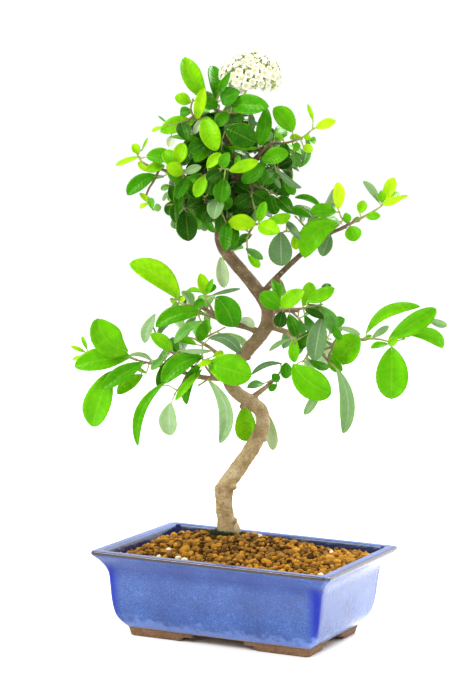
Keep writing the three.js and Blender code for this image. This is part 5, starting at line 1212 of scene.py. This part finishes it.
leaf_skin = Finish(
    "leaf_skin", Specular_IOR_Level=0.22, Specular_Tint=(0.5, 0.85, 0.2, 1), Subsurface_Weight=0.15,
    Subsurface_Scale=0.0012, Subsurface_Radius=(0.7, 1.0, 0.1),
)
VALUE_NAMES = ("leaf_across", "leaf_along", "leaf_tone", "leaf_under")
across, along, tone, under = (leaf_skin.value(name) for name in VALUE_NAMES)
from_rib = leaf_skin.reckon("ABSOLUTE", across)
blotch = leaf_skin.noise(0.005, 3.0, 0.6)
upper = leaf_skin.ramp(
    leaf_skin.plus(tone, leaf_skin.scale(blotch, 0.3, 0.7, -0.05, 0.05)),
    [(0.0, (0.002, 0.014, 0.001)), (0.2, (0.006, 0.052, 0.001)), (0.45, (0.032, 0.20, 0.001)),
     (0.68, (0.095, 0.36, 0.001)), (0.85, (0.25, 0.52, 0.002)), (1.0, (0.46, 0.66, 0.01))],
)
lower = leaf_skin.ramp(
    leaf_skin.plus(tone, leaf_skin.scale(blotch, 0.3, 0.7, -0.04, 0.04)),
    [(0.2, (0.075, 0.15, 0.06)), (0.5, (0.155, 0.28, 0.105)), (0.9, (0.46, 0.56, 0.34))],
)
skin = leaf_skin.mix(under, upper, lower)
# Side veins leave the rib towards the tip; rib and veins are paler than the blade.
slant = leaf_skin.reckon("SUBTRACT", leaf_skin.times(along, 9.0), leaf_skin.times(from_rib, 1.3))
wave = leaf_skin.reckon("SINE", leaf_skin.times(slant, 2 * math.pi))
vein = leaf_skin.times(leaf_skin.scale(wave, 0.75, 1.0), leaf_skin.scale(from_rib, 0.95, 0.3, 0.15, 0.5))
rib = leaf_skin.scale(from_rib, 0.09, 0.02)
rib_colour = leaf_skin.mix(under, (0.42, 0.66, 0.10), (0.75, 0.82, 0.62))
pale = leaf_skin.mix(leaf_skin.scale(under, 0, 1, 0.22, 0.36), skin, rib_colour)
paler = leaf_skin.reckon("MAXIMUM", leaf_skin.times(rib, 0.5), leaf_skin.times(vein, 0.22))
skin = leaf_skin.mix(paler, skin, pale)
edge = leaf_skin.scale(from_rib, 0.90, 1.0)
leaf_skin.put("Base Color", leaf_skin.mix(edge, skin, (0.40, 0.52, 0.04), 0.15))
leaf_skin.put("Roughness", leaf_skin.scale(under, 0, 1, 0.26, 0.5))
pillow = leaf_skin.bump(wave, 0.00005)
leaf_skin.put("Normal", leaf_skin.bump(leaf_skin.noise(0.0008, 3.0, 0.6), 0.00006, pillow))

twig_bark = Finish("twig_bark", Roughness=0.55, Specular_IOR_Level=0.25)
cloud = twig_bark.scale(twig_bark.noise(0.003, 4.0, 0.6), 0.3, 0.7, -0.2, 0.2)
twig_colour = twig_bark.ramp(
    twig_bark.plus(twig_bark.value("leaf_along"), cloud),
    [(0.0, (0.13, 0.085, 0.05)), (0.4, (0.21, 0.15, 0.07)), (0.75, (0.26, 0.33, 0.07)),
     (1.0, (0.36, 0.52, 0.10))],
)
twig_bark.put("Base Color", twig_colour)
twig_bark.put("Normal", twig_bark.bump(twig_bark.noise(0.0009, 3.0, 0.6), 0.0001))
leaf_finishes = [leaf_skin.material, twig_bark.material]

STATIONS, VISIBLE_FOLD, LEAF_THICKNESS = 24, 0.40, 0.32
blade_along = np.linspace(0, 1, STATIONS) ** 0.95
blade_across = np.array([-1, -0.72, -0.42, -0.14, 0, 0.14, 0.42, 0.72, 1])
teeth = np.where(np.arange(STATIONS) % 2, 0.012, -0.01) * ((blade_along > 0.25) & (blade_along < 0.97))


def grow_leaf(bunch, leaf, tone, turned):
    """Adds a blade and its petiole. Across the blade its height over the rib's line is a fold, less an
    arch between rib and edge, plus a slow wave of the edge and less a groove on the rib; the underside
    lies a leaf's thickness below, and more at the rib, which stands out there as a keel."""
    point, normal, right = blade_frame(leaf, blade_along)
    reach = np.maximum(0.28, leaf["width"] / 2 * blade_share(blade_along) * (1 + teeth))[:, None]
    reach[-1] = 0.15
    v = blade_across[None, :]
    fold = np.abs(v) * math.sin(VISIBLE_FOLD) * reach
    arch = 0.14 * reach * np.sin(math.pi * np.abs(v))
    phase, beat = rng.uniform(0, 6.3), rng.uniform(1.1, 1.9)
    ruffle = 0.07 * reach * v**2 * np.sin(beat * 2 * math.pi * blade_along + phase)[:, None]
    groove = 0.12 * np.exp(-((v / 0.1) ** 2)) * np.minimum(1, reach / 2)
    face = point[:, None] + right[:, None] * (v * reach * math.cos(BLADE_FOLD))[..., None]
    face = face + normal[:, None] * (fold - arch + ruffle - groove)[..., None]
    keel = (0.75 * (1 - blade_along) + 0.12)[:, None] * np.exp(-((v / 0.11) ** 2))
    back = face - normal[:, None] * (LEAF_THICKNESS - 0.16 * np.abs(v) ** 3 + keel)[..., None]
    leaf_tone = np.clip(tone + rng.normal(0, 0.055), 0.02, 0.98)
    bunch.add_sheets(
        face[:, ::-1], back[:, ::-1], 0, leaf_tone=leaf_tone,
        leaf_across=np.tile(-blade_across, 2 * STATIONS),
        leaf_along=np.tile(np.repeat(blade_along, len(blade_across)), 2),
        leaf_under=np.repeat([turned, 1 - turned], STATIONS * len(blade_across)),
    )
    # The petiole runs from inside the twig to under the blade's rib.
    petiole = bent_line(leaf["root"], leaf["base"], point[2] - normal[2] * 0.35, 6)
    bunch.add_rings(tube(petiole, np.linspace(0.55, 0.34, 6), 6), 1, leaf_along=0.55 + 0.4 * leaf_tone)


def twig_relief(points):
    """Small swellings along a twig."""
    return 1 + 0.08 * ripples(points, 2.5, 21)


rng = np.random.default_rng(7)
for name, shoot in shoots.items():
    bunch = Assembly(*VALUE_NAMES)
    for number, route in enumerate(shoot["routes"]):
        line = smooth_route(route, 1.2)
        rings = tube(line, np.linspace(0.9 if number else 1.1, 0.5, len(line)), 8, twig_relief)
        bunch.add_rings(rings, 1, leaf_along=np.repeat(np.linspace(0.1, 0.75, len(rings)), 8))
        # The twig ends in a pointed bud.
        bud = line[-1] + unit(line[-1] - line[-2]) * np.array([-0.3, 0.5, 1.4, 2.1])[:, None]
        bunch.add_rings(tube(bud, np.array([0.5, 0.75, 0.5, 0.12]), 6), 1, leaf_along=0.6)
    for leaf in shoot["placed"]:
        grow_leaf(bunch, leaf, *TONES[leaf["tone"]])
    leaves = bunch.piece(f"leaves_{name}", leaf_finishes)
    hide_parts(f"shoot_{name}")


# Inner leaves: older, darker ones that sit singly on the crown's wood and on the inner ends of its twigs,
# turned outwards, and fill it. They are set at random inside a rounded space, wherever there is room; the
# deeper they sit, the darker, partly from age and partly as painted shade of the crown's inside.
CROWN_MIDDLE, CROWN_REACH = np.array([-1.0, 3, 306]), np.array([47.0, 38, 47])
INNER_LEAVES, INNER_TRIES, LEAST_DEPTH, CLOSER = 130, 1200, -19, -1.6
crown_limbs = [TRUNK[26:], *BRANCHES[8:]]
rng = np.random.default_rng(19)
perches = [spread_points(np.array(limb, float)[:, :3]) for limb in crown_limbs]
perches += [line for name, shoot in shoots.items() if name.startswith("crown") for line in shoot["lines"]]
perches = np.vstack(perches)
inner = []
for _ in range(INNER_TRIES):
    root = perches[rng.integers(len(perches))]
    outward = unit((root - CROWN_MIDDLE) / CROWN_REACH + rng.normal(0, 0.15, 3))
    way = unit(rng.normal(0, 1, 3) + outward * 0.8 + [0, -0.2, -0.1])
    length = rng.uniform(15, 24)
    base = root + way * (PETIOLE_LENGTH + 1)
    tip = base + way * length - UP * 0.2 * length
    hint = unit(outward * [1, 1, 0.6] + [0, -0.35, 0.45] + rng.normal(0, 0.2, 3))
    width = length * rng.uniform(0.48, 0.6)
    roll, side_bow = rng.uniform(-0.5, 0.5), rng.uniform(-0.06, 0.06)
    leaf = dict(root=root, base=base, tip=tip, width=width, hint=hint, roll=roll, side_bow=side_bow)
    reach = np.linalg.norm((tip - CROWN_MIDDLE) / CROWN_REACH)
    if reach < 1 and tip[1] > LEAST_DEPTH and len(inner) < INNER_LEAVES and room_of(leaf, "inner") > CLOSER:
        # Darker towards the crown's middle: partly old leaves, partly painted shade inside the crown.
        put_leaf(inner, leaf, 0.16 + 0.32 * reach**3, "inner")
for name, on_right in (("left", False), ("right", True)):
    bunch = Assembly(*VALUE_NAMES)
    for leaf in inner:
        if (leaf["tip"][0] >= 0) == on_right:
            grow_leaf(bunch, leaf, leaf["tone"], 0)
    bunch.piece(f"inner_leaves_{name}", leaf_finishes)


# Studio: a white table that runs on without an edge, one large soft lamp high on the left, a wide soft
# one behind to the right that shows in the glaze, and an even white sky.
floor_mesh = bpy.data.meshes.new("white_table")
floor_mesh.from_pydata([(-30, -30, 0), (30, -30, 0), (30, 30, 0), (-30, 30, 0)], [], [(0, 1, 2, 3)])
table = Finish("white_table", Roughness=0.7, Specular_IOR_Level=0.2)
table_whites = [(0.3, (0.955, 0.955, 0.95)), (0.7, (0.97, 0.97, 0.965))]
table.put("Base Color", table.ramp(table.noise(0.2, 2.0, 0.5), table_whites))
floor_mesh.materials.append(table.material)
white_table = bpy.data.objects.new("white_table", floor_mesh)
bpy.context.scene.collection.objects.link(white_table)


def soft_lamp(name, place, aim, size, power, tint=(1.0, 1.0, 1.0)):
    """A square lamp of a given side that faces its aim."""
    lamp = bpy.data.lights.new(name, "AREA")
    lamp.shape = "SQUARE"
    lamp.size = size
    lamp.energy = power
    lamp.color = tint
    stand = bpy.data.objects.new(name, lamp)
    back = unit(np.array(place, float) - np.array(aim, float))
    right = unit(np.cross([0, 0, 1], back))
    axes = np.eye(4)
    axes[:3, 0], axes[:3, 1], axes[:3, 2], axes[:3, 3] = right, np.cross(back, right), back, place
    stand.matrix_world = Matrix(axes)
    bpy.context.scene.collection.objects.link(stand)


tree_middle = pot_middle + [0, 0, 0.19]
soft_lamp("key_lamp", pot_middle + [-0.75, -1.0, 1.15], tree_middle, 0.7, 24, (1.0, 0.985, 0.95))
soft_lamp("back_lamp", pot_middle + [0.75, 1.5, 0.75], tree_middle, 1.2, 14)
soft_lamp("table_lamp", pot_middle + [0.28, 0.55, 0.75], pot_middle + [0.28, 0.551, 0], 0.6, 16)
world = bpy.data.worlds.new("white_sky")
world.use_nodes = True
sky = world.node_tree.nodes["Background"]
sky.inputs["Color"].default_value = (1.0, 1.0, 1.0, 1)
sky.inputs["Strength"].default_value = 1.06
bpy.context.scene.world = world
bpy.context.scene.view_settings.view_transform = "Standard"
bpy.context.scene.view_settings.exposure = 0.0
